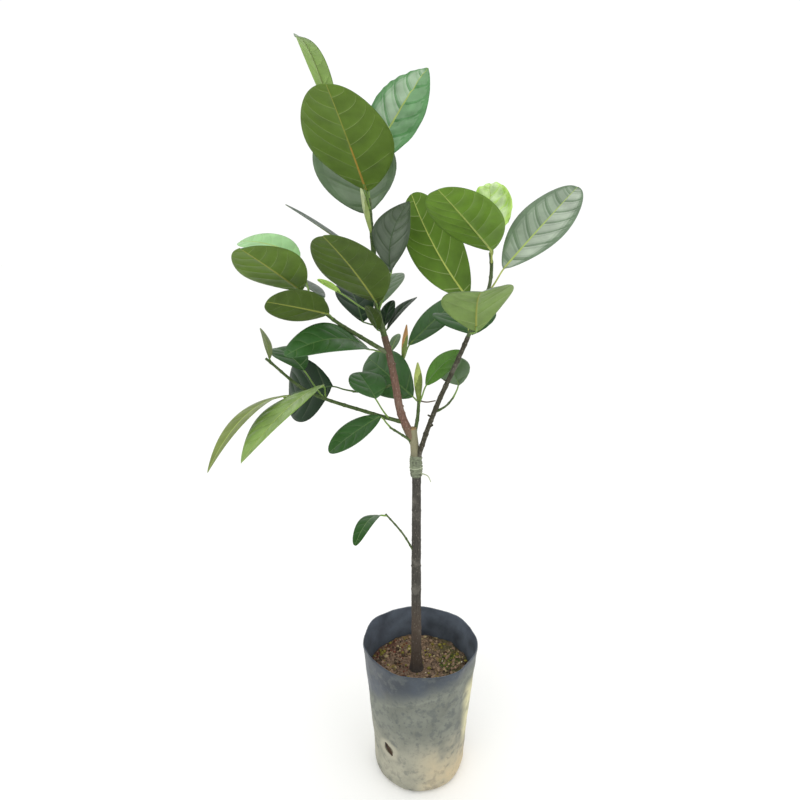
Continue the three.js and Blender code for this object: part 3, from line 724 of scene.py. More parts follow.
def grow_tube(bm, path, radius_at, sides, rings, before=0.0, after=0.0, relief=None, material=0,
              round_tip=True):
    """A closed tube along a path. relief gives extra radius at a share of the length and a turn."""
    stations = path.stations(rings, before, after)
    made = bmesh.ops.create_grid(bm, x_segments=sides, y_segments=rings, size=0.5)["verts"]
    for vert in made:
        turn = math.tau * (vert.co.x + 0.5)
        row = round((vert.co.y + 0.5) * rings)
        point, _, across, other = stations[row]
        radius = radius_at(row / rings)
        if relief:
            radius += relief(row / rings, turn)
        vert.co = point + (across * math.cos(turn) + other * math.sin(turn)) * radius
    # Faces and edges are listed in order, because a set's order would fill the ends differently in each run
    faces = list(dict.fromkeys(face for vert in made for face in vert.link_faces))
    for face in faces:
        face.material_index = material
    bmesh.ops.remove_doubles(bm, verts=made, dist=1e-4)
    edges = dict.fromkeys(edge for face in faces if face.is_valid for edge in face.edges if edge.is_boundary)
    caps = bmesh.ops.edgeloop_fill(bm, edges=list(edges), mat_nr=material)["faces"]
    if round_tip:
        inset, out = radius_at(1) * TIP_INSET, radius_at(1) * TIP_OUT
        bmesh.ops.inset_individual(bm, faces=caps, thickness=inset, depth=out)
    return [face for face in faces if face.is_valid]


def taper(thick):
    """The radius of a limb by its share of the length, from its thickness at the two ends."""
    return lambda share: (thick[0] + (thick[1] - thick[0]) * share) / 2


# Finishes

# Places and depths are in metres here, as shaders read them, and a pair says where a change starts and ends
LINING_SHADE = (0.135, 0.155)
DUST_ENDS = (0.148, 0.178)
DUST_TILT = {"all": 0.2, "left": 0.25}
DUST_RAGGED = 0.04
# The pale line along the fold under the rim is a painted highlight
FOLD_HIGHLIGHT = {"at": 0.150, "sides": (0.146, 0.154)}
CHALK_HEIGHTS = (0.115, 0.025)
STAIN_HEIGHTS = (0.1, 0.02)
STAIN_SIDE = (0.0, 0.05)
GLEAM = {"across": (0.05, 0.062), "foot": (0.04, 0.07), "top": (0.16, 0.13), "front": (0.02, -0.01)}
HOLE_OUT = 0.063
HOLE_WORN = (0.018, 0.011)
HOLE_DARK_RING = (0.0082, 0.0058)
SOIL_PATCHES = (0.05, -0.03)
# The soil is darker below its top: painted shade inside the bag
SOIL_SHADE_ENDS = (0.135, 0.125)
DENT_DEPTH = 0.0012
DUST_DEPTH = 0.0003
GRIT_DEPTH = 0.002
THREAD_DEPTH = 0.0006
BARK_DEPTH = 0.0005
VEINLET_DEPTH = 0.00018
LEAF_MOTTLE = 0.15

# Two colours of the bark in a shader's own linear values
LICHEN, LENTICEL = (0.42, 0.4, 0.34), (0.55, 0.5, 0.4)

# Roughness, shine and mottle of the ribs and veins, and of the buds and stalks with the size of their mottle
RIB_SURFACE = (0.5, 0.35, 0.06)
BUD_SURFACE = (0.45, 0.4, 0.14, 120)
CRUMB_MOTTLE_SIZE, MOSS_MOTTLE_SIZE = 500, 700


class Finish:
    """A material being built: its nodes, its shader, and where they read the surface."""

    def __init__(self, name, colour_rgb, roughness, shine=0.5):
        self.material = bpy.data.materials.new(name)
        self.material.use_nodes = True
        self.material.diffuse_color = (*colour_rgb, 1)
        self.tree = self.material.node_tree
        self.tree.nodes.clear()
        self.shader = self.add("ShaderNodeBsdfPrincipled")
        self.shader.inputs["Base Color"].default_value = (*colour_rgb, 1)
        self.shader.inputs["Roughness"].default_value = roughness
        self.shader.inputs["Specular IOR Level"].default_value = shine
        output = self.add("ShaderNodeOutputMaterial")
        self.link(self.shader.outputs["BSDF"], output.inputs["Surface"])
        self.place = self.add("ShaderNodeTexCoord").outputs["Object"]

    def add(self, kind, values=None, **settings):
        made = self.tree.nodes.new(kind)
        for name, value in settings.items():
            setattr(made, name, value)
        for name, value in (values or {}).items():
            made.inputs[name].default_value = value
        return made

    def link(self, source, target):
        self.tree.links.new(source, target)

    def feed(self, target, value):
        """Link an output to an input, or set a number or a colour on it directly."""
        if isinstance(value, bpy.types.NodeSocket):
            self.link(value, target)
        else:
            target.default_value = value if isinstance(value, (int, float)) else (*value, 1)

    def stretched(self, scale):
        """The place on the surface, scaled along X, Y and Z, so that a pattern is drawn out or pressed."""
        mapping = self.add("ShaderNodeMapping", {"Scale": scale})
        self.link(self.place, mapping.inputs["Vector"])
        return mapping.outputs["Vector"]

    def speckle(self, scale, detail=4.0, where=None, rough=0.55):
        made = self.add("ShaderNodeTexNoise", {"Scale": scale, "Detail": detail, "Roughness": rough})
        self.link(where or self.place, made.inputs["Vector"])
        return made.outputs["Fac"]

    def cells(self, scale, feature="F1", where=None):
        made = self.add("ShaderNodeTexVoronoi", {"Scale": scale}, feature=feature)
        self.link(where or self.place, made.inputs["Vector"])
        return made.outputs["Distance"]

    def ramp(self, value, stops):
        """A run of colours over a value: stops are (place, colour)."""
        made = self.add("ShaderNodeValToRGB")
        marks = made.color_ramp.elements
        while len(marks) < len(stops):
            marks.new(1.0)
        for mark, (place, rgb) in zip(marks, stops):
            mark.position = place
            mark.color = (*rgb, 1)
        self.link(value, made.inputs["Fac"])
        return made.outputs["Color"]

    def blend(self, share, first, second):
        """A colour that goes from the first to the second. A Mix node has sockets for numbers, vectors
        and colours under the same names, so those for colours are taken by their numbers."""
        made = self.add("ShaderNodeMix", data_type="RGBA")
        for index, value in ((0, share), (6, first), (7, second)):
            self.feed(made.inputs[index], value)
        return made.outputs[2]

    def maths(self, kind, first, second):
        made = self.add("ShaderNodeMath", operation=kind)
        self.feed(made.inputs[0], first)
        self.feed(made.inputs[1], second)
        return made.outputs[0]

    def times(self, first, *others):
        for other in others:
            first = self.maths("MULTIPLY", first, other)
        return first

    def axis(self, name):
        made = self.add("ShaderNodeSeparateXYZ")
        self.link(self.place, made.inputs[0])
        return made.outputs[name]

    def between(self, value, low, high, to_low=0.0, to_high=1.0):
        """Goes softly from to_low to to_high as the value goes from low to high."""
        made = self.add(
            "ShaderNodeMapRange",
            {"From Min": low, "From Max": high, "To Min": to_low, "To Max": to_high},
            interpolation_type="SMOOTHSTEP",
        )
        self.link(value, made.inputs["Value"])
        return made.outputs["Result"]

    def colour(self, value):
        self.link(value, self.shader.inputs["Base Color"])

    def roughness(self, value):
        self.link(value, self.shader.inputs["Roughness"])

    def bump(self, value, metres, strength=1.0):
        """Add relief to the surface, on top of what it already has."""
        made = self.add("ShaderNodeBump", {"Strength": strength, "Distance": metres})
        self.link(value, made.inputs["Height"])
        if self.shader.inputs["Normal"].is_linked:
            self.link(self.shader.inputs["Normal"].links[0].from_socket, made.inputs["Normal"])
        self.link(made.outputs["Normal"], self.shader.inputs["Normal"])


def leaf_skin(name, rgb, roughness, shine):
    """A leaf's surface: a little mottled, with the fine net of veinlets."""
    skin = Finish(name, rgb, roughness, shine)
    skin.colour(skin.ramp(skin.speckle(46, 4), [
        (0.34, shaded(rgb, 1 - LEAF_MOTTLE)), (0.66, shaded(rgb, 1 + LEAF_MOTTLE)),
    ]))
    skin.roughness(skin.between(skin.speckle(90, 3), 0.3, 0.7, roughness - 0.05, roughness + 0.06))
    skin.bump(skin.cells(430, "DISTANCE_TO_EDGE"), VEINLET_DEPTH, 0.5)
    return skin.material


def bark_skin(name, rgb, lenticels, bands=()):
    """Bark with fine upright streaks, patches of lichen grey and pale lenticels, and bands of colour."""
    bark = Finish(name, rgb, 0.82, 0.25)
    upright = bark.stretched((1, 1, 0.16))
    grain = bark.speckle(900, 6, upright, 0.65)
    patches = bark.speckle(60, 4)
    wood = bark.ramp(grain, [(0.32, shaded(rgb, 0.55)), (0.5, rgb), (0.7, shaded(rgb, 1.45))])
    wood = bark.blend(bark.between(patches, 0.52, 0.68, 0.0, 0.5), wood, mixed(rgb, LICHEN, 0.3))
    for low, high, strength, tone in bands:
        share = bark.between(bark.axis("Z"), low, high)
        wood = bark.blend(bark.times(share, strength), wood, from_screen(*tone))
    spots = bark.between(bark.cells(330, "F1", bark.stretched((1, 1, 0.7))), 0.16, 0.27, lenticels, 0.0)
    bark.colour(bark.blend(spots, wood, mixed(rgb, LENTICEL, 0.5)))
    bark.bump(grain, BARK_DEPTH, 0.7)
    return bark.material


def plain_skin(name, rgb, roughness=0.5, shine=0.4, mottle=0.1, scale=160):
    """A stalk, rib, bud, crumb or thread: almost one colour, with a soft mottle."""
    skin = Finish(name, rgb, roughness, shine)
    stops = [(0.35, shaded(rgb, 1 - mottle)), (0.65, shaded(rgb, 1 + mottle))]
    skin.colour(skin.ramp(skin.speckle(scale, 2), stops))
    return skin.material


def lining_skin(bag):
    """The inner face of the film: slate, with soft lighter patches where it catches the light."""
    lining = tuple(bag.lining)
    film = Finish("bag_lining", lining, 0.5, 0.4)
    tone = film.ramp(film.speckle(34, 5), [(0.32, shaded(lining, 0.6)), (0.66, shaded(lining, 1.4))])
    shade = film.between(film.axis("Z"), *LINING_SHADE, 0.6, 0.0)
    film.colour(film.blend(shade, tone, shaded(lining, 0.45)))
    film.bump(film.speckle(70, 5), DENT_DEPTH, 0.5)
    return film.material


def film_skin(bag):
    """The bag's film: clean slate by the rim, dusty below it, chalky and stained low down."""
    slate, dust, stain = tuple(bag.slate), tuple(bag.dust), tuple(bag.stain)
    film = Finish("bag_film", slate, 0.5, 0.45)
    broad, fine = film.speckle(26, 5), film.speckle(210, 6, rough=0.65)
    height, across, depth = film.axis("Z"), film.axis("X"), film.axis("Y")
    clean = film.ramp(broad, [(0.35, shaded(slate, 0.78)), (0.62, shaded(slate, 1.25))])
    clean = film.blend(film.between(fine, 0.62, 0.74, 0, 0.35), clean, mixed(slate, dust, 0.6))
    grey = film.ramp(broad, [(0.3, shaded(dust, 0.7)), (0.5, dust), (0.7, shaded(dust, 1.16))])
    grey = film.blend(film.between(fine, 0.46, 0.36, 0, 0.5), grey, mixed(slate, dust, 0.25))
    blots = film.between(film.speckle(95, 4, rough=0.6), 0.5, 0.64, 0.0, 0.4)
    grey = film.blend(blots, grey, mixed(slate, dust, 0.35))
    # The dust ends in a ragged line under the rim, higher to the right, with a fold's painted highlight along
    # it
    line = film.maths("ADD", height, film.times(across, -DUST_TILT["all"]))
    line = film.maths("SUBTRACT", line, film.times(film.maths("MINIMUM", across, 0.0), DUST_TILT["left"]))
    line = film.maths("ADD", line, film.times(film.maths("SUBTRACT", broad, 0.5), DUST_RAGGED))
    dusty = film.between(line, *DUST_ENDS, 1.0, 0.0)
    body = film.blend(dusty, clean, grey)
    # Painted highlight along the fold
    fold = film.times(*(film.between(line, start, FOLD_HIGHLIGHT["at"]) for start in FOLD_HIGHLIGHT["sides"]))
    body = film.blend(film.times(fold, 0.25), body, shaded(dust, 1.4))
    # Chalk low down all round, and the soil stain low and to the right of the front
    chalky = film.times(film.between(height, *CHALK_HEIGHTS), film.between(broad, 0.25, 0.7, 0.4, 1.0))
    body = film.blend(film.times(chalky, 0.85), body, tuple(bag.chalk))
    side = film.between(film.maths("SUBTRACT", across, film.times(depth, 0.35)), *STAIN_SIDE)
    mud = film.times(film.between(height, *STAIN_HEIGHTS), side, film.between(broad, 0.3, 0.7))
    body = film.blend(film.times(mud, 0.85), body, stain)
    grime = film.times(blots, film.between(broad, 0.7, 0.4, 0.5, 1.2))
    body = film.blend(grime, body, mixed(slate, dust, 0.45))
    # A strip of light down the right side, and a pale worn ring and a dark band round each drain hole
    strip = film.times(
        film.between(across, *GLEAM["across"]), film.between(height, *GLEAM["foot"]),
        film.between(height, *GLEAM["top"]), film.between(depth, *GLEAM["front"]),
        film.between(film.speckle(60, 4), 0.3, 0.55, 0.3, 0.8),
    )
    body = film.blend(strip, body, tuple(bag.gleam))
    for heading in DRAIN_HOLE["headings"]:
        centre = direction(heading, 0) * HOLE_OUT + Vector((0, 0, DRAIN_HOLE["height"] * MM))
        apart = film.add("ShaderNodeVectorMath", operation="DISTANCE")
        film.link(film.place, apart.inputs[0])
        apart.inputs[1].default_value = centre
        worn = film.between(apart.outputs["Value"], *HOLE_WORN, 0.0, 0.7)
        body = film.blend(worn, body, tuple(bag.chalk))
        # A dark band close round the hole's opening
        dark_ring = film.between(apart.outputs["Value"], *HOLE_DARK_RING, 0.0, 0.85)
        body = film.blend(dark_ring, body, from_screen(*HOLE_DARK_EDGE))
    film.colour(body)
    film.roughness(film.between(dusty, 0, 1, 0.42, 0.72))
    film.bump(film.speckle(70, 5), DENT_DEPTH, 0.5)
    film.bump(fine, DUST_DEPTH, 0.4)
    return film.material


def soil_skin(soil):
    """Damp potting soil with mossy and sandy patches, and painted shade on its sides below the top."""
    ground, crumb, moss = tuple(soil.ground), tuple(soil.crumb), tuple(soil.moss)
    skin = Finish("soil_ground", ground, 0.95, 0.15)
    grit, broad = skin.speckle(330, 8, rough=0.7), skin.speckle(46, 4)
    earth = skin.ramp(grit, [
        (0.3, shaded(ground, 0.35)), (0.48, ground), (0.62, crumb), (0.76, shaded(crumb, 1.7)),
    ])
    across = skin.axis("X")
    right, left = (skin.between(across, 0.0, reach) for reach in SOIL_PATCHES)
    for share, tone in (
        (skin.times(skin.between(broad, 0.48, 0.6), right), moss),
        (skin.times(skin.between(broad, 0.52, 0.42), left), from_screen(*SOIL_RED)),
        (skin.between(skin.speckle(70, 3), 0.56, 0.66), from_screen(*SOIL_SAND)),
    ):
        earth = skin.blend(skin.times(share, 0.6), earth, tone)
    # Painted shade on the soil's sides below its top, inside the bag
    below = skin.between(skin.axis("Z"), *SOIL_SHADE_ENDS, 0.0, 0.85)
    earth = skin.blend(below, earth, shaded(ground, 0.3))
    skin.colour(earth)
    skin.bump(grit, GRIT_DEPTH)
    return skin.material


def wrap_skin(wrap):
    """Weathered wrap: grey-green, with dark gaps of painted shade and pale threads running round."""
    rgb = tuple(wrap.wrap)
    skin = Finish("graft_wrap", rgb, 0.7, 0.3)
    round_it = skin.stretched((0.35, 0.35, 1.0))
    bands, blots = skin.speckle(420, 5, round_it, 0.7), skin.speckle(150, 4)
    # The darkest bands are painted shade in the gaps between the turns
    tone = skin.ramp(bands, [
        (0.3, shaded(rgb, 0.3)), (0.46, shaded(rgb, 0.8)), (0.6, rgb), (0.75, shaded(rgb, 1.6)),
    ])
    tone = skin.blend(skin.between(blots, 0.55, 0.66, 0, 0.7), tone, shaded(rgb, 0.28))
    skin.colour(tone)
    skin.bump(bands, THREAD_DEPTH, 0.9)
    return skin.material


# Bag and soil

def bag_profile_radius(height):
    """The bag's radius at a height, without its creases."""
    for (low, narrow), (high, broad) in zip(BAG_PROFILE, BAG_PROFILE[1:]):
        if height <= high:
            return narrow + (broad - narrow) * max(height - low, 0) / (high - low)
    return BAG_PROFILE[-1][1]


def bag_radius(height, turn, wrinkle=0.0):
    """The film's outer radius: the profile, the long creases, and soft wrinkles in them."""
    rise = height / BAG_HEIGHT
    crease = math.cos(BAG_CREASES * turn + 1.2 * rise) + 0.6 * math.cos(3 * turn - rise + 1)
    radius = bag_profile_radius(height) + BAG_CREASE_DEPTH * crease * min(1, 0.3 + rise)
    if wrinkle:
        around = round_point(turn, WRINKLE_RING, height * WRINKLE_RISE)
        soft = noise.noise(around) + 0.5 * noise.noise(around * 2.3 + Vector((7, 3, 1)))
        crimp = 1 - abs(noise.noise(Vector((around.x * 2.2, around.y * 2.2, around.z * 1.1 + 9)))) * 2
        radius += wrinkle * (soft * 0.9 - 0.35 + 0.35 * crimp**3 * smooth(0, 60, height))
    return radius


def wrap_round(bm, around, rows, place):
    """A closed skin from a grid wrapped round +Z: place gives a point for a turn and a row."""
    made = bmesh.ops.create_grid(bm, x_segments=around, y_segments=rows, size=0.5)["verts"]
    for vert in made:
        vert.co = place(math.tau * (vert.co.x + 0.5), round((vert.co.y + 0.5) * rows))
    bmesh.ops.remove_doubles(bm, verts=made, dist=1e-3)


def hole_place(point, heading):
    """Where a point of the film lies across and along a drain hole, as shares of its half sizes, with the
    way to its right and its slant. There is no place for a point on the far side of the bag."""
    out = math.radians(heading)
    right = Vector((math.sin(out), -math.cos(out), 0))
    if point.dot(round_point(out, 1, 0)) < 0:
        return None
    level, up = point.dot(right), point.z - DRAIN_HOLE["height"]
    slant = math.radians(DRAIN_HOLE["slant"])
    across = level * math.cos(slant) - up * math.sin(slant)
    along = level * math.sin(slant) + up * math.cos(slant)
    return Vector((across / (DRAIN_HOLE["wide"] / 2), along / (DRAIN_HOLE["long"] / 2))), right, slant


def cut_drain_hole(bm, heading):
    """Take the film out of one oval hole, and draw the cut edge out to the oval."""
    inside = []
    for face in bm.faces:
        found = hole_place(face.calc_center_median(), heading)
        if found and found[0].length < HOLE_CORE:
            inside.append(face)
    rim = {vert for face in inside for vert in face.verts}
    bmesh.ops.delete(bm, geom=inside, context="FACES")
    rim = [vert for vert in rim if vert.is_valid]
    for vert in rim:
        place, right, slant = hole_place(vert.co, heading)
        shift = place * (1 / max(place.length, 0.05)) - place
        across, along = shift.x * DRAIN_HOLE["wide"] / 2, shift.y * DRAIN_HOLE["long"] / 2
        level = across * math.cos(slant) + along * math.sin(slant)
        vert.co += right * level + Vector((0, 0, 1)) * (along * math.cos(slant) - across * math.sin(slant))
    near = {other for vert in rim for edge in vert.link_edges for other in edge.verts} - set(rim)
    bmesh.ops.smooth_vert(bm, verts=list(near), factor=0.5, use_axis_x=True, use_axis_y=True, use_axis_z=True)


class PLANT_OT_grow_bag(bpy.types.Operator):
    """Make the soft film bag with its wrinkles and drain holes"""

    bl_idname = "plant.grow_bag"
    bl_label = "Nursery Bag"

    def execute(self, context):
        bag = context.scene.plant_bag
        under, walls = 10, 96
        wrinkle = bag.wrinkle / MM

        def place(turn, row):
            if row <= under:
                share = row / under
                hollow = UNDERSIDE_HOLLOW * (1 - smooth(*HOLLOW_ENDS, share))
                return round_point(turn, bag_radius(0, turn) * share, hollow)
            share = (row - under) / walls
            height = BAG_HEIGHT * share**ROWS_CLOSER
            radius = bag_radius(height, turn, wrinkle * smooth(*WRINKLE_START, height))
            turned_in = smooth(BAG_HEIGHT - RIM_TURNED_IN["height"], BAG_HEIGHT, height)
            radius -= RIM_TURNED_IN["depth"] * turned_in
            lift = RIM_LEAN["up"] * math.cos(turn - math.radians(RIM_LEAN["heading"]))
            lift += RIM_WAVE * math.sin(2 * turn + 0.6)
            lift += RIM_RIPPLE["high"] * noise.noise(round_point(turn, 1, 0) * RIM_RIPPLE["step"])
            height += lift * smooth(SOIL_LEVEL, BAG_HEIGHT, height)
            return round_point(turn, radius, height)

        bm = bmesh.new()
        wrap_round(bm, BAG_SIDES, under + walls, place)
        for heading in DRAIN_HOLE["headings"]:
            cut_drain_hole(bm, heading)
        bmesh.ops.recalc_face_normals(bm, faces=bm.faces)
        lip = max(bm.faces, key=lambda face: face.calc_center_median().z)
        if self.faces_inward(lip):
            bmesh.ops.reverse_faces(bm, faces=bm.faces)
        bmesh.ops.solidify(bm, geom=bm.faces[:], thickness=bag.film / MM)
        bm.normal_update()
        for face in bm.faces:
            if self.faces_inward(face) and face.calc_center_median().z > UNDERSIDE_HOLLOW:
                face.material_index = 1
        finish_piece(bm, "grow_bag_film", [film_skin(bag), lining_skin(bag)], ["grow_bag"], "grow_bag")
        return {"FINISHED"}

    @staticmethod
    def faces_inward(face):
        """Whether a face of the bag looks towards its upright axis."""
        middle = face.calc_center_median()
        return face.normal.dot(Vector((middle.x, middle.y, 0))) < 0


def soil_height(x, y, lump):
    """The soil's uneven top, a little heaped at the trunk."""
    reach = math.hypot(x, y)
    at = Vector((x, y, 0))
    rough = sum(weight * noise.noise(at * step) for step, weight in SOIL_LUMPS)
    heap = SOIL_TOP["heap"] * smooth(*SOIL_TOP["heap_ends"], reach)
    sink = SOIL_TOP["sink"] * smooth(*SOIL_TOP["sink_ends"], reach)
    level = SOIL_LEVEL - SOIL_TOP["below"] + (heap - sink)
    return level + lump * rough * smooth(*LUMPS_START, reach)


def scatter_crumbs(bm, rng, count, size, flat, materials, lump, where=None):
    """Small rough lumps lying on the soil, each of one colour, and only where asked if where is given."""
    placed = 0
    while placed < count:
        reach, turn = CRUMB_FIELD * math.sqrt(rng.random()), rng.random() * math.tau
        x, y = reach * math.cos(turn), reach * math.sin(turn)
        if math.hypot(x - TRUNK_FOOT[0], y) < CRUMB_CLEARANCE or (where and not where(x, y, rng)):
            continue
        radius = size[0] + (size[1] - size[0]) * rng.random() ** 2
        verts = bmesh.ops.create_icosphere(bm, subdivisions=1, radius=radius)["verts"]
        for vert in verts:
            vert.co *= CRUMB_CORNERS["least"] + CRUMB_CORNERS["more"] * rng.random()
        turned = Matrix.Rotation(rng.random() * math.tau, 4, "Z")
        turned = turned @ Matrix.Rotation(CRUMB_LEAN * rng.random(), 4, "X")
        narrow = CRUMB_WIDTH["least"] + CRUMB_WIDTH["more"] * rng.random()
        bmesh.ops.scale(bm, vec=(1.0, narrow, flat), verts=verts)
        bmesh.ops.transform(bm, matrix=turned, verts=verts)
        height = soil_height(x, y, lump) + radius * flat * CRUMB_RAISED
        bmesh.ops.translate(bm, vec=(x, y, height), verts=verts)
        material = rng.choice(materials)
        for face in {face for vert in verts for face in vert.link_faces}:
            face.material_index = material
        placed += 1


class PLANT_OT_potting_soil(bpy.types.Operator):
    """Make the soil in the bag, with its crumbs, dry bits and moss"""

    bl_idname = "plant.potting_soil"
    bl_label = "Potting Soil"

    def execute(self, context):
        soil, bag = context.scene.plant_soil, context.scene.plant_bag
        lump, wrinkle = soil.lump / MM, bag.wrinkle / MM
        inset = bag.film / MM + SOIL_CLEARANCE
        foot, rounding = SOIL_FOOT["height"], SOIL_FOOT["rounding"]
        top, side, under = 44, 40, 8

        def place(turn, row):
            if row <= top:
                reach = (bag_radius(SOIL_LEVEL, turn, wrinkle) - inset) * (row / top)
                height = soil_height(reach * math.cos(turn), reach * math.sin(turn), lump)
                return round_point(turn, reach, height)
            if row <= top + side:
                share = (row - top) / side
                height = foot + (SOIL_LEVEL - SOIL_SHOULDER - foot) * (1 - share)
                radius = bag_radius(height, turn, wrinkle * smooth(*WRINKLE_START, height)) - inset
                return round_point(turn, radius - rounding * smooth(12, 2, height), height)
            share = 1 - (row - top - side) / under
            return round_point(turn, (bag_radius(foot, turn) - inset - rounding) * share, foot)

        bm = bmesh.new()
        wrap_round(bm, SOIL_SIDES, top + side + under, place)
        finish_piece(bm, "soil_ground", [soil_skin(soil)], ["potting_soil"], "potting_soil")

        tones = {name: from_screen(*tone) for name, tone in CRUMB_TONES.items()}
        shades = [
            plain_skin("crumb_" + name, rgb, rough, shine, mottle, CRUMB_MOTTLE_SIZE)
            for name, rgb, rough, shine, mottle in (
                ("brown", tuple(soil.crumb), 0.95, 0.15, 0.3),
                ("dark", shaded(soil.ground, 0.45), 0.95, 0.15, 0.3),
                ("pale", tones["pale"], 0.9, 0.2, 0.2),
                ("white", tones["white"], 0.8, 0.3, 0.05),
                ("red", tones["red"], 0.9, 0.2, 0.25),
                ("olive", tones["olive"], 0.95, 0.15, 0.25),
            )
        ]
        brown, dark, pale, white, red, olive = range(len(shades))
        rng = random.Random(11)
        bm = bmesh.new()
        for count, size, flat, kinds, where in (
            (soil.crumbs, (0.6, 3.4), 0.65, [brown] * 4 + [dark] * 2 + [olive, pale], None),
            (soil.crumbs // 14, (0.6, 1.6), 0.7, [pale, pale, white], None),
            (soil.crumbs // 5, (0.9, 2.6), 0.35, [red, red, dark], self.on_the_left),
        ):
            scatter_crumbs(bm, rng, count, size, flat, kinds, lump, where)
        finish_piece(bm, "soil_crumbs", shades, ["potting_soil"], "potting_soil")

        green = tuple(soil.moss)
        greens = [
            plain_skin("moss_" + name, rgb, 0.95, 0.15, 0.3, MOSS_MOTTLE_SIZE)
            for name, rgb in (("green", green), ("yellow", mixed(green, from_screen(*MOSS_YELLOW), 0.5)))
        ]
        bm = bmesh.new()
        scatter_crumbs(bm, rng, soil.crumbs // 3, (0.8, 2.2), 0.5, [0, 0, 1], lump, self.in_moss)
        finish_piece(bm, "soil_moss", greens, ["potting_soil"], "potting_soil")
        return {"FINISHED"}

    @staticmethod
    def on_the_left(x, y, rng):
        """Reddish bits lie on the left, fewer and fewer towards the middle."""
        return rng.random() < smooth(*RED_BITS_FADE, x)

    @staticmethod
    def in_moss(x, y, rng):
        """Moss grows in one patch on the right, and thinly in a small one at the front."""
        def within(patch):
            return math.hypot(x - patch["place"][0], y - patch["place"][1]) < patch["reach"]

        return within(MOSS_RIGHT) or (within(MOSS_FRONT) and rng.random() < MOSS_FRONT["share"])


# Wood

TRUNK_PATH = Path.of_legs(TRUNK_FOOT, TRUNK_LEGS)
LIMBS = {"trunk": TRUNK_PATH}


def trunk_radius(share):
    """The trunk's radius: its taper, its flare at the soil, and the swelling of the graft union."""
    height = share * TRUNK_PATH.long
    wood = TRUNK_THICK + (TRUNK_TOP_THICK - TRUNK_THICK) * share
    flare = FLARE * math.exp(-height / FLARE_HEIGHT)
    swell = UNION_SWELL * math.exp(-(((height - UNION_HEIGHT) / UNION_SPREAD) ** 2))
    return (wood + flare + swell) / 2


def leader_radius(share):
    """The leader's radius, narrower at its very root, where it leaves the trunk."""
    thin = LEADER_NECK["thin"]
    return taper(LEADER["thick"])(share) * (thin + (1 - thin) * smooth(0, LEADER_NECK["end"], share))


def limb_start(parent_name, at):
    """Where a limb leaves its parent: some millimetres along it, or at its tip."""
    parent = LIMBS[parent_name]
    return parent.point(parent.long if at == "tip" else at)


def bark_relief(long, depth, joints, seed):
    """Extra radius for bark: upright ribs, leaf-scar rings at the joints, and small lenticels."""
    shift = Vector((seed * 3.1, seed * 1.7, seed * 0.9))

    def relief(share, turn):
        height, round_it = share * long, round_point(turn, 1, 0)
        ribs, grain, spots = (
            noise.noise(round_it * around + Vector((0, 0, height * along)) + shift)
            for around, along in (BARK_RIBS, BARK_GRAIN, BARK_SPOTS)
        )
        lenticels = max(spots - LENTICELS["above"], 0) * LENTICELS["rise"]
        ring = sum(size * math.exp(-(((height - at) / wide) ** 2)) for at, size, wide in joints)
        return depth * (ribs + 0.5 * grain + lenticels) + ring

    return relief


def joints_along(long, first, step, size, seed):
    """Leaf-scar joints as (place, height, width), at uneven steps up to just below the tip."""
    rng, made, at = random.Random(seed), [], first
    while at < long - JOINT_FREE_TIP:
        made.append((at, size * (0.6 + 0.8 * rng.random()), 1.1 + 0.8 * rng.random()))
        at += step * (0.75 + 0.5 * rng.random())
    return made


def grow_limb(name, path, radius_at, depth, before=0.0):
    """A limb with the relief of its bark, and the short dry stubs that fallen leaves and twigs left."""
    plan = BARK[name]
    bm = bmesh.new()
    joints = joints_along(path.long, *plan["joints"])
    relief = bark_relief(path.long, depth * plan["relief"], joints, plan["seed"])
    grow_tube(bm, path, radius_at, plan["sides"], plan["rings"], before=before, relief=relief)
    for at, heading, thick in plan["stubs"]:
        root = path.point(at)
        long = plan["stub_long"] or radius_at(at / path.long) + STUB_PROUD
        stub = Path([root, root + direction(heading, plan["stub_rise"]) * long], 8)
        grow_tube(bm, stub, taper((thick, thick * STUB_TIP)), 10, 5)
    return bm


def bark_of(name, finish, rgb):
    """A limb's bark finish in its own colour, with its lenticels and bands."""
    return bark_skin(finish, tuple(rgb), BARK[name]["lenticels"], BARK[name]["bands"])


class PLANT_OT_wood(bpy.types.Operator):
    """Grow the trunk and the two boughs with the relief of their bark"""

    bl_idname = "plant.wood"
    bl_label = "Trunk and Boughs"

    def execute(self, context):
        wood = context.scene.plant_wood
        depth = wood.relief / MM
        bm = grow_limb("trunk", TRUNK_PATH, trunk_radius, depth, TRUNK_FOOT_SUNK)
        for face in bm.faces:
            if face.calc_center_median().z > SOIL_LEVEL + TRUNK_PATH.long - CUT_FACE:
                face.material_index = 1
        cut = plain_skin("cut_wood", from_screen(*CUT_WOOD), 0.8, 0.25, 0.25, 500)
        finish_piece(bm, "trunk_bark", [bark_of("trunk", "trunk_bark", wood.trunk), cut], ["trunk"], "trunk")

        for name, plan, radius_at, finish, rgb in (
            ("leader_bough", LEADER, leader_radius, "leader_bark", wood.leader),
            ("right_bough", RIGHT, taper(RIGHT["thick"]), "right_bark", wood.right),
        ):
            LIMBS[name] = Path.of_legs(limb_start("trunk", plan["at"]), plan["legs"])
            bm = grow_limb(name, LIMBS[name], radius_at, depth)
            finish_piece(bm, name + "_bark", [bark_of(name, finish, rgb)], [name], name)
        return {"FINISHED"}


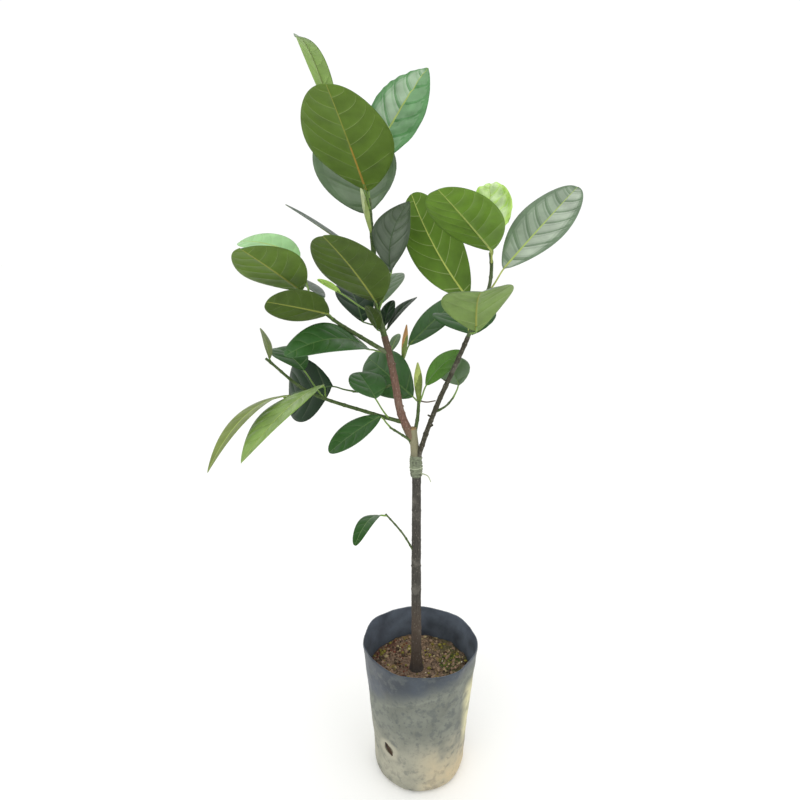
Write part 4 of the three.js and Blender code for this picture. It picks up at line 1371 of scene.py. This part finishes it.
class PLANT_OT_graft_wrap(bpy.types.Operator):
    """Wind the wrap round the graft union and leave the end of its tie loose"""

    bl_idname = "plant.graft_wrap"
    bl_label = "Graft Wrap"

    def execute(self, context):
        wrap = context.scene.plant_wrap
        ridge, total = wrap.ridge / MM, TRUNK_PATH.long
        low, high = (UNION_HEIGHT - TAPE_HEIGHT / 2) / total, (UNION_HEIGHT + TAPE_HEIGHT / 2) / total
        path = Path([TRUNK_PATH.at(low + (high - low) * quarter / 4)[0] for quarter in range(5)])

        def radius_at(share):
            swelling = TAPE_THICK * smooth(0, 0.06, share) * smooth(1, 0.94, share)
            return trunk_radius(low + (high - low) * share) + swelling

        def relief(share, turn):
            """Uneven turns of the wrap, bunched in places, with a few knots."""
            place = round_point(turn, WRAP_RING, share * WRAP_RISE)
            uneven = WRAP_UNEVEN * noise.noise(place)
            winding = (share * TAPE_HEIGHT / WRAP_STEP + turn / math.tau + uneven) % 1.0
            bunched = sum(deep * noise.noise(place * step) for step, deep in WRAP_BUNCHES)
            knots = 0.0
            for at, round_it, proud in WRAP_KNOTS:
                along = ((share - at) / KNOT_SPREAD["along"]) ** 2
                around = (math.sin((turn - round_it) / 2) / KNOT_SPREAD["round"]) ** 2
                knots += proud * math.exp(-along - around)
            return ridge * (1.4 * winding**0.5 - 0.7) + bunched * smooth(0, 0.1, share) + knots

        bm = bmesh.new()
        grow_tube(bm, path, radius_at, 48, 90, relief=relief)
        finish_piece(bm, "graft_wrap", [wrap_skin(wrap)], ["graft_tape"], "graft_tape")

        bm = bmesh.new()
        start = TRUNK_PATH.at(low + TIE_END["at"] * (high - low))[0]
        start += direction(TIE_END["heading"], 0) * TIE_END["out"]
        grow_tube(bm, Path.of_legs(start, TIE_END_LEGS), taper(TIE_END["thick"]), 10, 24)
        share = low + TIE_TURN["at"] * (high - low)
        middle, out = TRUNK_PATH.at(share)[0], trunk_radius(share) + TIE_TURN["out"]
        loop = [
            middle + direction(turn, 0) * out + Vector((0, 0, TIE_TURN["climb"] * turn / 360))
            for turn in range(0, 361, 20)
        ]
        grow_tube(bm, Path(loop), taper([TIE_TURN["thick"]] * 2), 8, 72)
        thread = plain_skin("tie_thread", tuple(wrap.thread), 0.7, 0.3)
        finish_piece(bm, "graft_tie", [thread], ["graft_tape"], "graft_tape")
        return {"FINISHED"}


# Foliage

def half_width(leaf, share):
    """Half width of a blade at a share of its length: a narrower base and a blunt, fuller tip."""
    power = leaf["blunt"] + BASE_NARROWS * (1 - share)
    bulge = max(math.sin(math.pi * share ** leaf["full"]), 0.0)
    return BLADE_END_HALF + (leaf["wide"] / 2 - BLADE_END_HALF) * bulge**power


def blade_rows(leaf):
    """Rows across a blade as (share, side of its vein, place between veins), three to each vein, and the
    step from vein to vein."""
    pairs = max(VEIN_PAIRS["least"], round(VEIN_PAIRS["first"] + leaf["long"] / VEIN_PAIRS["each"]))
    step = (LAST_VEIN - FIRST_VEIN) / (pairs - 1)
    edge = VEIN_HALF / leaf["long"] * min(1, leaf["long"] / FULL_SIZE["vein"])
    rows = [(share, None, between) for share, between in BASE_ROWS]
    for pair in range(pairs):
        vein = FIRST_VEIN + step * pair
        rows += [(vein, side, 0.0) for side in (-edge, 0.0, edge)]
        if pair < pairs - 1:
            rows += [(vein + step * share, None, share) for share in BETWEEN_ROWS]
    rows += [(LAST_VEIN + (1 - LAST_VEIN) * share, None, 0.5 * (1 - share)) for share in TIP_ROWS]
    return rows, step


def blade_frame(leaf):
    """A blade's ways along its midrib, up from its upper side, and to its side."""
    along = direction(leaf["heading"], leaf["rise"])
    level = Vector((along.y, -along.x, 0)).normalized()
    roll = math.radians(leaf["roll"])
    up = level.cross(along) * math.cos(roll) + level * math.sin(roll)
    return along, up, along.cross(up)


# A spot on a blade: its column, the side of its vein if it is on one, how far it is from the midrib to the
# edge as a share of the columns and of the width, half the midrib's width there, its share of the length
# and its place between two veins
Spot = namedtuple("Spot", "column vein reach edge rib ahead between")


def spread_blade(verts, leaf, foot, quilt):
    """Lay a grid's verts out as a leaf's middle layer and tell the spot of each. The rows follow the
    veins, which leave the midrib at its sides and lean towards the tip."""
    along, up, side = blade_frame(leaf)
    rows, step = blade_rows(leaf)
    rng = random.Random(f"{leaf['heading']} {leaf['long']} {leaf['wide']}")
    phase, tilt = rng.random() * math.tau, rng.uniform(-0.5, 0.5)
    long, wide, lift = leaf["long"], leaf["wide"], math.tan(math.radians(leaf["fold"]))
    sweep = min(VEIN_SWEEP["most"], VEIN_SWEEP["by_width"] * wide / long)
    swell = quilt * min(1.0, wide / FULL_SIZE["quilt"])
    spots = {}
    for vert in verts:
        column = round((vert.co.x + 0.5) * 2 * BLADE_COLUMNS) - BLADE_COLUMNS
        share, vein, between = rows[round((vert.co.y + 0.5) * (len(rows) - 1))]
        reach = max(abs(column) - RIB_COLUMNS, 0) / (BLADE_COLUMNS - RIB_COLUMNS)
        if vein is not None:
            share += vein * (1 - VEIN_THINS * reach)
        if column > 0:
            stagger = VEIN_STAGGER * step * min(1, column / RIB_COLUMNS)
            share += stagger * min(1, share / STAGGER_ENDS[0], (1 - share) / STAGGER_ENDS[1])
        swept = sweep * (1 - share * share) * smooth(0, VEIN_SWEEP["start"], share)
        ahead = min(share + swept * (0.5 * reach + 0.5 * reach * reach), 1.0)
        half = half_width(leaf, ahead)
        rib = (RIB_HALF["tip"] + RIB_HALF["gain"] * (1 - ahead)) * min(1, long / FULL_SIZE["rib"])
        rib = min(rib, RIB_HALF["most"] * half)
        out = rib + (half - rib) * reach
        if abs(column) < RIB_COLUMNS:
            out = RIB_HALF["inner"] * rib * abs(column)
        edge, sign = out / half, 1 if column >= 0 else -1
        # The fold, the quilting between the veins, and the wave of the edge
        height = lift * (math.hypot(out, FOLD_ROUNDING) - FOLD_ROUNDING)
        swollen = math.sin(math.pi * between) * math.sin(math.pi * reach**0.8)
        height += swell * swollen * min(1, 6 * (1 - ahead))
        wave = math.sin(EDGE_WAVES * ahead + phase + sign * (HALVES_APART + tilt))
        height += leaf["wave"] * wide / 2 * wave * edge * edge
        bow = 4 * ahead * (1 - ahead)
        point = foot + along * (long * ahead) + up * (leaf["arch"] * bow * long + height)
        point += side * (out * sign + leaf["bend"] * bow * long)
        if leaf["crinkle"]:
            point += up * (leaf["crinkle"] * noise.noise(point * CRINKLE_STEP) * min(1, 6 * ahead))
        vert.co = point
        spots[vert] = Spot(column, vein, reach, edge, rib, ahead, between)
    return spots


def finish_of(spots, skins, ribs, vein, lit):
    """A face's finish by the spots of its corners: the rib nearer the base or the tip, the vein, or the
    skin, which is paler midway between the veins, more so on the half that lit says."""
    outmost = max(abs(spot.column) for spot in spots)
    if outmost <= RIB_COLUMNS:
        return ribs[0] if spots[0].ahead < RIB_CHANGE else ribs[1]
    if all(spot.vein is not None for spot in spots) and outmost < BLADE_COLUMNS:
        return vein
    middle = sum(spot.between for spot in spots) / len(spots)
    pale = math.sin(math.pi * middle) * lit[int(sum(spot.column for spot in spots) > 0)]
    pale *= smooth(BLADE_COLUMNS, BLADE_COLUMNS - 3, outmost)
    return skins[min(int(pale * len(skins)), len(skins) - 1)]


def grow_blade(bm, leaf, foot, thick, quilt, slots):
    """One leaf blade. Its midrib, its veins and the skin between them are all real relief, each with its
    own finish."""
    rows, _ = blade_rows(leaf)
    grid = bmesh.ops.create_grid(bm, x_segments=2 * BLADE_COLUMNS, y_segments=len(rows) - 1, size=0.5)
    verts = grid["verts"]
    spots = spread_blade(verts, leaf, foot, quilt)

    faces = list({face for vert in verts for face in vert.link_faces})
    for face in faces:
        face.normal_update()
    _, up, _ = blade_frame(leaf)
    if sum(face.normal.dot(up) * face.calc_area() for face in faces) < 0:
        bmesh.ops.reverse_faces(bm, faces=faces)
    for vert in verts:
        vert.normal_update()
    normals = {vert: vert.normal.copy() for vert in verts}
    edges = list({edge for face in faces for edge in face.edges})
    copy = bmesh.ops.duplicate(bm, geom=verts + edges + faces)
    twins = {vert: twin for vert, twin in copy["vert_map"].items() if vert in spots}
    under = [item for item in copy["geom"] if isinstance(item, bmesh.types.BMFace)]
    bmesh.ops.reverse_faces(bm, faces=under)

    above, near, far = slots["ribs"]
    beneath = {twin: spots[vert] for vert, twin in twins.items()}
    for group, lookup, finishes in (
        (faces, spots, (slots["top"], (above, above), slots["top_vein"])),
        (under, beneath, (slots["under"], (near, far), slots["under_vein"])),
    ):
        for face in group:
            corners = [lookup[vert] for vert in face.verts]
            face.material_index = finish_of(corners, *finishes, slots["lit"])

    for vert, spot in spots.items():
        ridge = RIB_RELIEF[min(abs(spot.column), RIB_COLUMNS)] * spot.rib
        crest = 0.0
        if spot.vein == 0.0 and abs(spot.column) >= RIB_COLUMNS:
            crest = VEIN_RELIEF["midrib"] + (VEIN_RELIEF["edge"] - VEIN_RELIEF["midrib"]) * spot.reach
            crest *= min(1, leaf["long"] / FULL_SIZE["relief"])
        half = thick / 2 * (1 - RIM_THINS * spot.edge**4)
        vert.co += normals[vert] * (half - RIB_SUNK * ridge - 0.5 * crest)
        twins[vert].co -= normals[vert] * (half + RIB_PROUD * ridge + crest)

    rims = {edge for face in faces + under for edge in face.edges if edge.is_boundary}
    for face in bmesh.ops.bridge_loops(bm, edges=list(rims))["faces"]:
        face.material_index = slots["top"][0]


def grow_bud(bm, path, bud, materials):
    """A slim pointed bud: two scales wound round each other, with a faint keel."""
    root = path.point(bud["at"])
    tip = root + direction(bud["heading"], bud["rise"]) * bud["long"]

    def swell(share):
        swollen = math.sin(math.pi * (0.12 + 0.86 * share)) ** 0.8
        return BUD_END_HALF + (bud["thick"] / 2 - BUD_END_HALF) * swollen

    def keel(share, turn):
        winding = math.cos(2 * (turn + BUD_TWIST * share))
        return BUD_KEEL * bud["thick"] * winding * math.sin(math.pi * share)

    faces = grow_tube(bm, Path([root, tip], 24), swell, 20, 30, relief=keel, material=materials[0],
                      round_tip=False)
    axis, camera = (tip - root).normalized(), Vector((0, -1, 0))
    front = (camera - axis * axis.dot(camera)).normalized()
    for face in faces:
        out = face.calc_center_median() - root
        ahead = out.dot(axis) / bud["long"]
        turn = math.atan2(out.dot(axis.cross(front)), out.dot(front))
        if ahead > BUD_SCALE["end"] + BUD_SCALE["swing"] * math.sin(turn + BUD_SCALE["turn"]):
            face.material_index = materials[1]


def grow_twig(bm, path, twig, material):
    """A thin bare twig that sags between its two ends."""
    root = path.point(twig["at"])
    tip = root + direction(twig["heading"], twig["rise"]) * twig["long"]
    middle = root.lerp(tip, BARE_TWIG["sag_at"]) - Vector((0, 0, BARE_TWIG["sag"] * twig["long"]))
    thick = [twig["thick"] * share for share in BARE_TWIG["ends"]]
    grow_tube(bm, Path([root, middle, tip]), taper(thick), 10, 20, material=material)


class PLANT_OT_foliage(bpy.types.Operator):
    """Grow each leaf mass from its stem: shoots, stalks, veined blades and buds"""

    bl_idname = "plant.foliage"
    bl_label = "Foliage"

    @staticmethod
    def finishes(context):
        """Every finish of the foliage by its name. An upper side with a sheen has paler and paler steps."""
        leaf, wood = context.scene.plant_leaf, context.scene.plant_wood
        made = {}
        for name, plan in LEAF_LOOKS.items():
            for side, (tone, light), clear in zip(("top", "under"), plan["sides"], plan["veins"]):
                rgb, top = shaded(getattr(leaf, tone), light), side == "top"
                shine = plan["shine"] if top else UNDER_SHINE
                for step in range(SHEEN_STEPS if top and plan["sheen"] else 1):
                    finish = f"{name}_{side}_{step}"
                    pale = mixed(rgb, leaf.painted_sheen, plan["sheen"] * step / SHEEN_STEPS)
                    made[finish] = leaf_skin(finish, pale, LEAF_ROUGHNESS[side], shine)
                finish = f"{name}_{side}_vein"
                made[finish] = plain_skin(finish, mixed(rgb, leaf.vein, clear), *RIB_SURFACE)
        ribs = {name: from_screen(*tone) for name, tone in RIB_TONES.items()}
        for name, rgb in {"rib_yellow": tuple(leaf.rib), **ribs}.items():
            made[name] = plain_skin(name, rgb, *RIB_SURFACE)
        buds = {name: from_screen(*tone) for name, tone in BUD_TONES.items()}
        for name, rgb in {"bud_pale": tuple(leaf.bud), "stalk_green": tuple(wood.stalk), **buds}.items():
            made[name] = plain_skin(name, rgb, *BUD_SURFACE)
        made["shoot"] = bark_skin("green_shoot", tuple(wood.shoot), 0.2)
        return made

    def execute(self, context):
        made, view = self.finishes(context), context.evaluated_depsgraph_get()
        barks = [bpy.data.objects[name + "_bark"] for name in BARK]
        limbs = [BVHTree.FromObject(bark, view) for bark in barks]
        for plan in MASSES:
            self.grow_mass(plan, context.scene.plant_leaf, made, limbs)
        return {"FINISHED"}

    def grow_mass(self, plan, settings, made, limbs):
        """One mass on its shoot: its twigs, its blades, and its buds if it has any."""
        name = plan["name"]
        path = LIMBS[name] = Path.of_legs(limb_start(plan["on"], plan["at"]), plan["legs"])
        twigs, blades = bmesh.new(), bmesh.new()
        joints = joints_along(path.long, *SHOOT_JOINTS, len(name))
        grow_tube(twigs, path, taper(plan["thick"]), 20, max(40, int(path.long)), before=0.5, after=0.8,
                  relief=bark_relief(path.long, SHOOT_RELIEF, joints, len(name)))
        used = []
        for row in plan["leaves"]:
            leaf = {**LEAF_SHAPE, **row}
            slots = self.slots_of(leaf["look"], made, used)
            self.grow_leaf(twigs, blades, path, leaf, plan["reach"], settings, slots, limbs)
        finish_piece(twigs, name + "_twigs", [made[finish] for finish in TWIG_FINISHES], [name], name)
        finish_piece(blades, name + "_blades", [made[finish] for finish in used], [name], name)
        if not plan["buds"]:
            return
        buds = bmesh.new()
        for index, bud in enumerate(plan["buds"]):
            if bud["look"][0] == "stalk_brown":
                grow_twig(buds, path, bud, 2 * index)
            else:
                grow_bud(buds, path, bud, [2 * index, 2 * index + 1])
        looks = [finish for bud in plan["buds"] for finish in bud["look"]]
        finish_piece(buds, name + "_buds", [made[finish] for finish in looks], [name], name)

    def grow_leaf(self, twigs, blades, path, leaf, most, settings, slots, limbs):
        """A leaf and its stalk, unless it would reach too far from its shoot's start or meet a limb."""
        root = path.point(leaf["at"])
        long, heading, rise = leaf["stalk"]
        foot = root + direction(heading, rise) * long
        along, _, _ = blade_frame(leaf)
        if (foot + along * leaf["long"] - path.knots[0]).length > most:
            return
        blade = bmesh.new()
        grow_blade(blade, leaf, foot, settings.thick / MM, settings.quilt / MM, slots)
        if not self.meets(blade, limbs):
            mesh = bpy.data.meshes.new("blade")
            blade.to_mesh(mesh)
            blades.from_mesh(mesh)
            bpy.data.meshes.remove(mesh)
            stalk = TWIG_FINISHES.index(STALK_FINISHES.get(leaf["look"], "stalk_green"))
            grow_tube(twigs, self.stalk_path(root, foot, leaf), self.stalk_radius, 12, 30, material=stalk)
        blade.free()

    @staticmethod
    def slots_of(name, made, used):
        """The places of a look's finishes among those a piece uses, each added where it is missing."""
        tops = [finish for finish in (f"{name}_top_{step}" for step in range(SHEEN_STEPS)) if finish in made]
        groups = {
            "top": tops, "under": [name + "_under_0"], "ribs": LEAF_LOOKS[name]["ribs"],
            "top_vein": [name + "_top_vein"], "under_vein": [name + "_under_vein"],
        }
        wanted = dict.fromkeys(finish for finishes in groups.values() for finish in finishes)
        used += [finish for finish in wanted if finish not in used]
        places = {group: [used.index(finish) for finish in finishes] for group, finishes in groups.items()}
        return {
            **places, "top_vein": places["top_vein"][0], "under_vein": places["under_vein"][0],
            "lit": LEAF_LOOKS[name]["lit"],
        }

    @staticmethod
    def stalk_path(root, foot, leaf):
        """A stalk that sags a little and turns softly into its blade, under the midrib."""
        along, up, side = blade_frame(leaf)
        way = foot - root
        corner = min(STALK_TURN["most"], STALK_TURN["share"] * way.length)
        before, after = foot - way.normalized() * corner, foot + along * corner
        middle = root.lerp(foot, 0.5) - Vector((0, 0, STALK_SAG * way.length))
        bow = STALK_END["bow"] * leaf["long"]
        end = foot + along * (leaf["long"] * STALK_END["at"] + corner / 2)
        end += up * (leaf["arch"] * bow - STALK_END["below"]) + side * (leaf["bend"] * bow)
        turn = (before + foot * 2 + after) / 4
        return Path([root, middle, before, turn, after.lerp(end, 0.5), end])

    @staticmethod
    def stalk_radius(share):
        """A leaf stalk's radius, a little thicker at its two ends."""
        waist = 1 - STALK_WAIST + STALK_WAIST * (2 * share - 1) ** 2
        return STALK_THICK / 2 * waist * (1 - STALK_THINS * share)

    @staticmethod
    def meets(blade, limbs):
        """Whether a blade in millimetres runs into the trunk or a bough."""
        tree = BVHTree.FromPolygons([vert.co * MM for vert in blade.verts],
                                    [[vert.index for vert in face.verts] for face in blade.faces])
        return any(limb.overlap(tree) for limb in limbs)


# Stage

# Places and sizes in metres. The tilt is in degrees from straight down, the shift is a share of the
# picture, the camera shows nothing nearer than NEAREST, and its sensor is in millimetres
FLOOR_RADIUS = 30.0
LIGHTS = [("key_light", (-0.9, -1.5, 1.9), 1.0), ("fill_light", (1.3, -1.1, 1.2), 0.45)]
LIGHT_SIZE = 1.4
LIT_POINT = (0, 0, 0.5)
CAMERA_TILT = 76
LENS_SHIFT = -0.0125
NEAREST = 0.02
SENSOR = 36.0


class PLANT_OT_stage(bpy.types.Operator):
    """Set the pale floor, the soft light and the camera"""

    bl_idname = "plant.stage"
    bl_label = "Stage"

    def execute(self, context):
        scene, stage = context.scene, context.scene.plant_stage
        bm = bmesh.new()
        bmesh.ops.create_circle(bm, cap_ends=True, segments=96, radius=FLOOR_RADIUS)
        mesh = bpy.data.meshes.new("floor")
        bm.to_mesh(mesh)
        bm.free()
        pale = Finish("floor_paper", tuple(stage.floor), 0.9, 0.1)
        tones = [(0.3, shaded(stage.floor, 0.985)), (0.7, tuple(stage.floor))]
        pale.colour(pale.ramp(pale.speckle(2.0, 2), tones))
        mesh.materials.append(pale.material)
        floor = bpy.data.objects.new("floor", mesh)
        scene.collection.objects.link(floor)

        world = bpy.data.worlds.new("soft_room")
        world.use_nodes = True
        back = world.node_tree.nodes["Background"]
        back.inputs["Color"].default_value = (1.0, 1.0, 1.0, 1)
        back.inputs["Strength"].default_value = stage.sky
        scene.world = world
        scene.view_settings.view_transform = "Standard"

        for name, place, share in LIGHTS:
            light = bpy.data.lights.new(name, "AREA")
            light.size = LIGHT_SIZE
            light.energy = stage.key * share
            lamp = bpy.data.objects.new(name, light)
            lamp.location = place
            lamp.rotation_euler = (Vector(LIT_POINT) - Vector(place)).to_track_quat("-Z", "Y").to_euler()
            scene.collection.objects.link(lamp)

        lens = bpy.data.cameras.new("camera")
        lens.lens = stage.lens
        lens.sensor_width = SENSOR
        lens.shift_y = LENS_SHIFT
        lens.clip_start = NEAREST
        camera = bpy.data.objects.new("camera", lens)
        camera.location = stage.camera
        camera.rotation_euler = (math.radians(CAMERA_TILT), 0, 0)
        scene.collection.objects.link(camera)
        scene.camera = camera
        return {"FINISHED"}


class PLANT_PT_panel(bpy.types.Panel):
    """Grow the plant piece by piece"""

    bl_idname = "PLANT_PT_panel"
    bl_label = "Potted Jackfruit Tree"
    bl_space_type = "VIEW_3D"
    bl_region_type = "UI"
    bl_category = "Plant"

    def draw(self, context):
        for group, operator in OPERATORS.items():
            box = self.layout.box()
            box.operator(operator.bl_idname)
            settings = getattr(context.scene, group)
            for name in settings.__annotations__:
                box.prop(settings, name)


# Each group of settings with the operator that reads it
OPERATORS = {
    "plant_bag": PLANT_OT_grow_bag, "plant_soil": PLANT_OT_potting_soil, "plant_wood": PLANT_OT_wood,
    "plant_wrap": PLANT_OT_graft_wrap, "plant_leaf": PLANT_OT_foliage, "plant_stage": PLANT_OT_stage,
}
CLASSES = (*SETTINGS.values(), *OPERATORS.values(), PLANT_PT_panel)


def register():
    for made in CLASSES:
        bpy.utils.register_class(made)
    for name, group in SETTINGS.items():
        setattr(bpy.types.Scene, name, PointerProperty(type=group))


def unregister():
    for name in SETTINGS:
        delattr(bpy.types.Scene, name)
    for made in reversed(CLASSES):
        bpy.utils.unregister_class(made)


def main():
    register()
    bpy.ops.plant.stage()
    bpy.ops.plant.grow_bag()
    bpy.ops.plant.potting_soil()
    bpy.ops.plant.wood()
    bpy.ops.plant.graft_wrap()
    bpy.ops.plant.foliage()


if __name__ == "__main__":
    main()
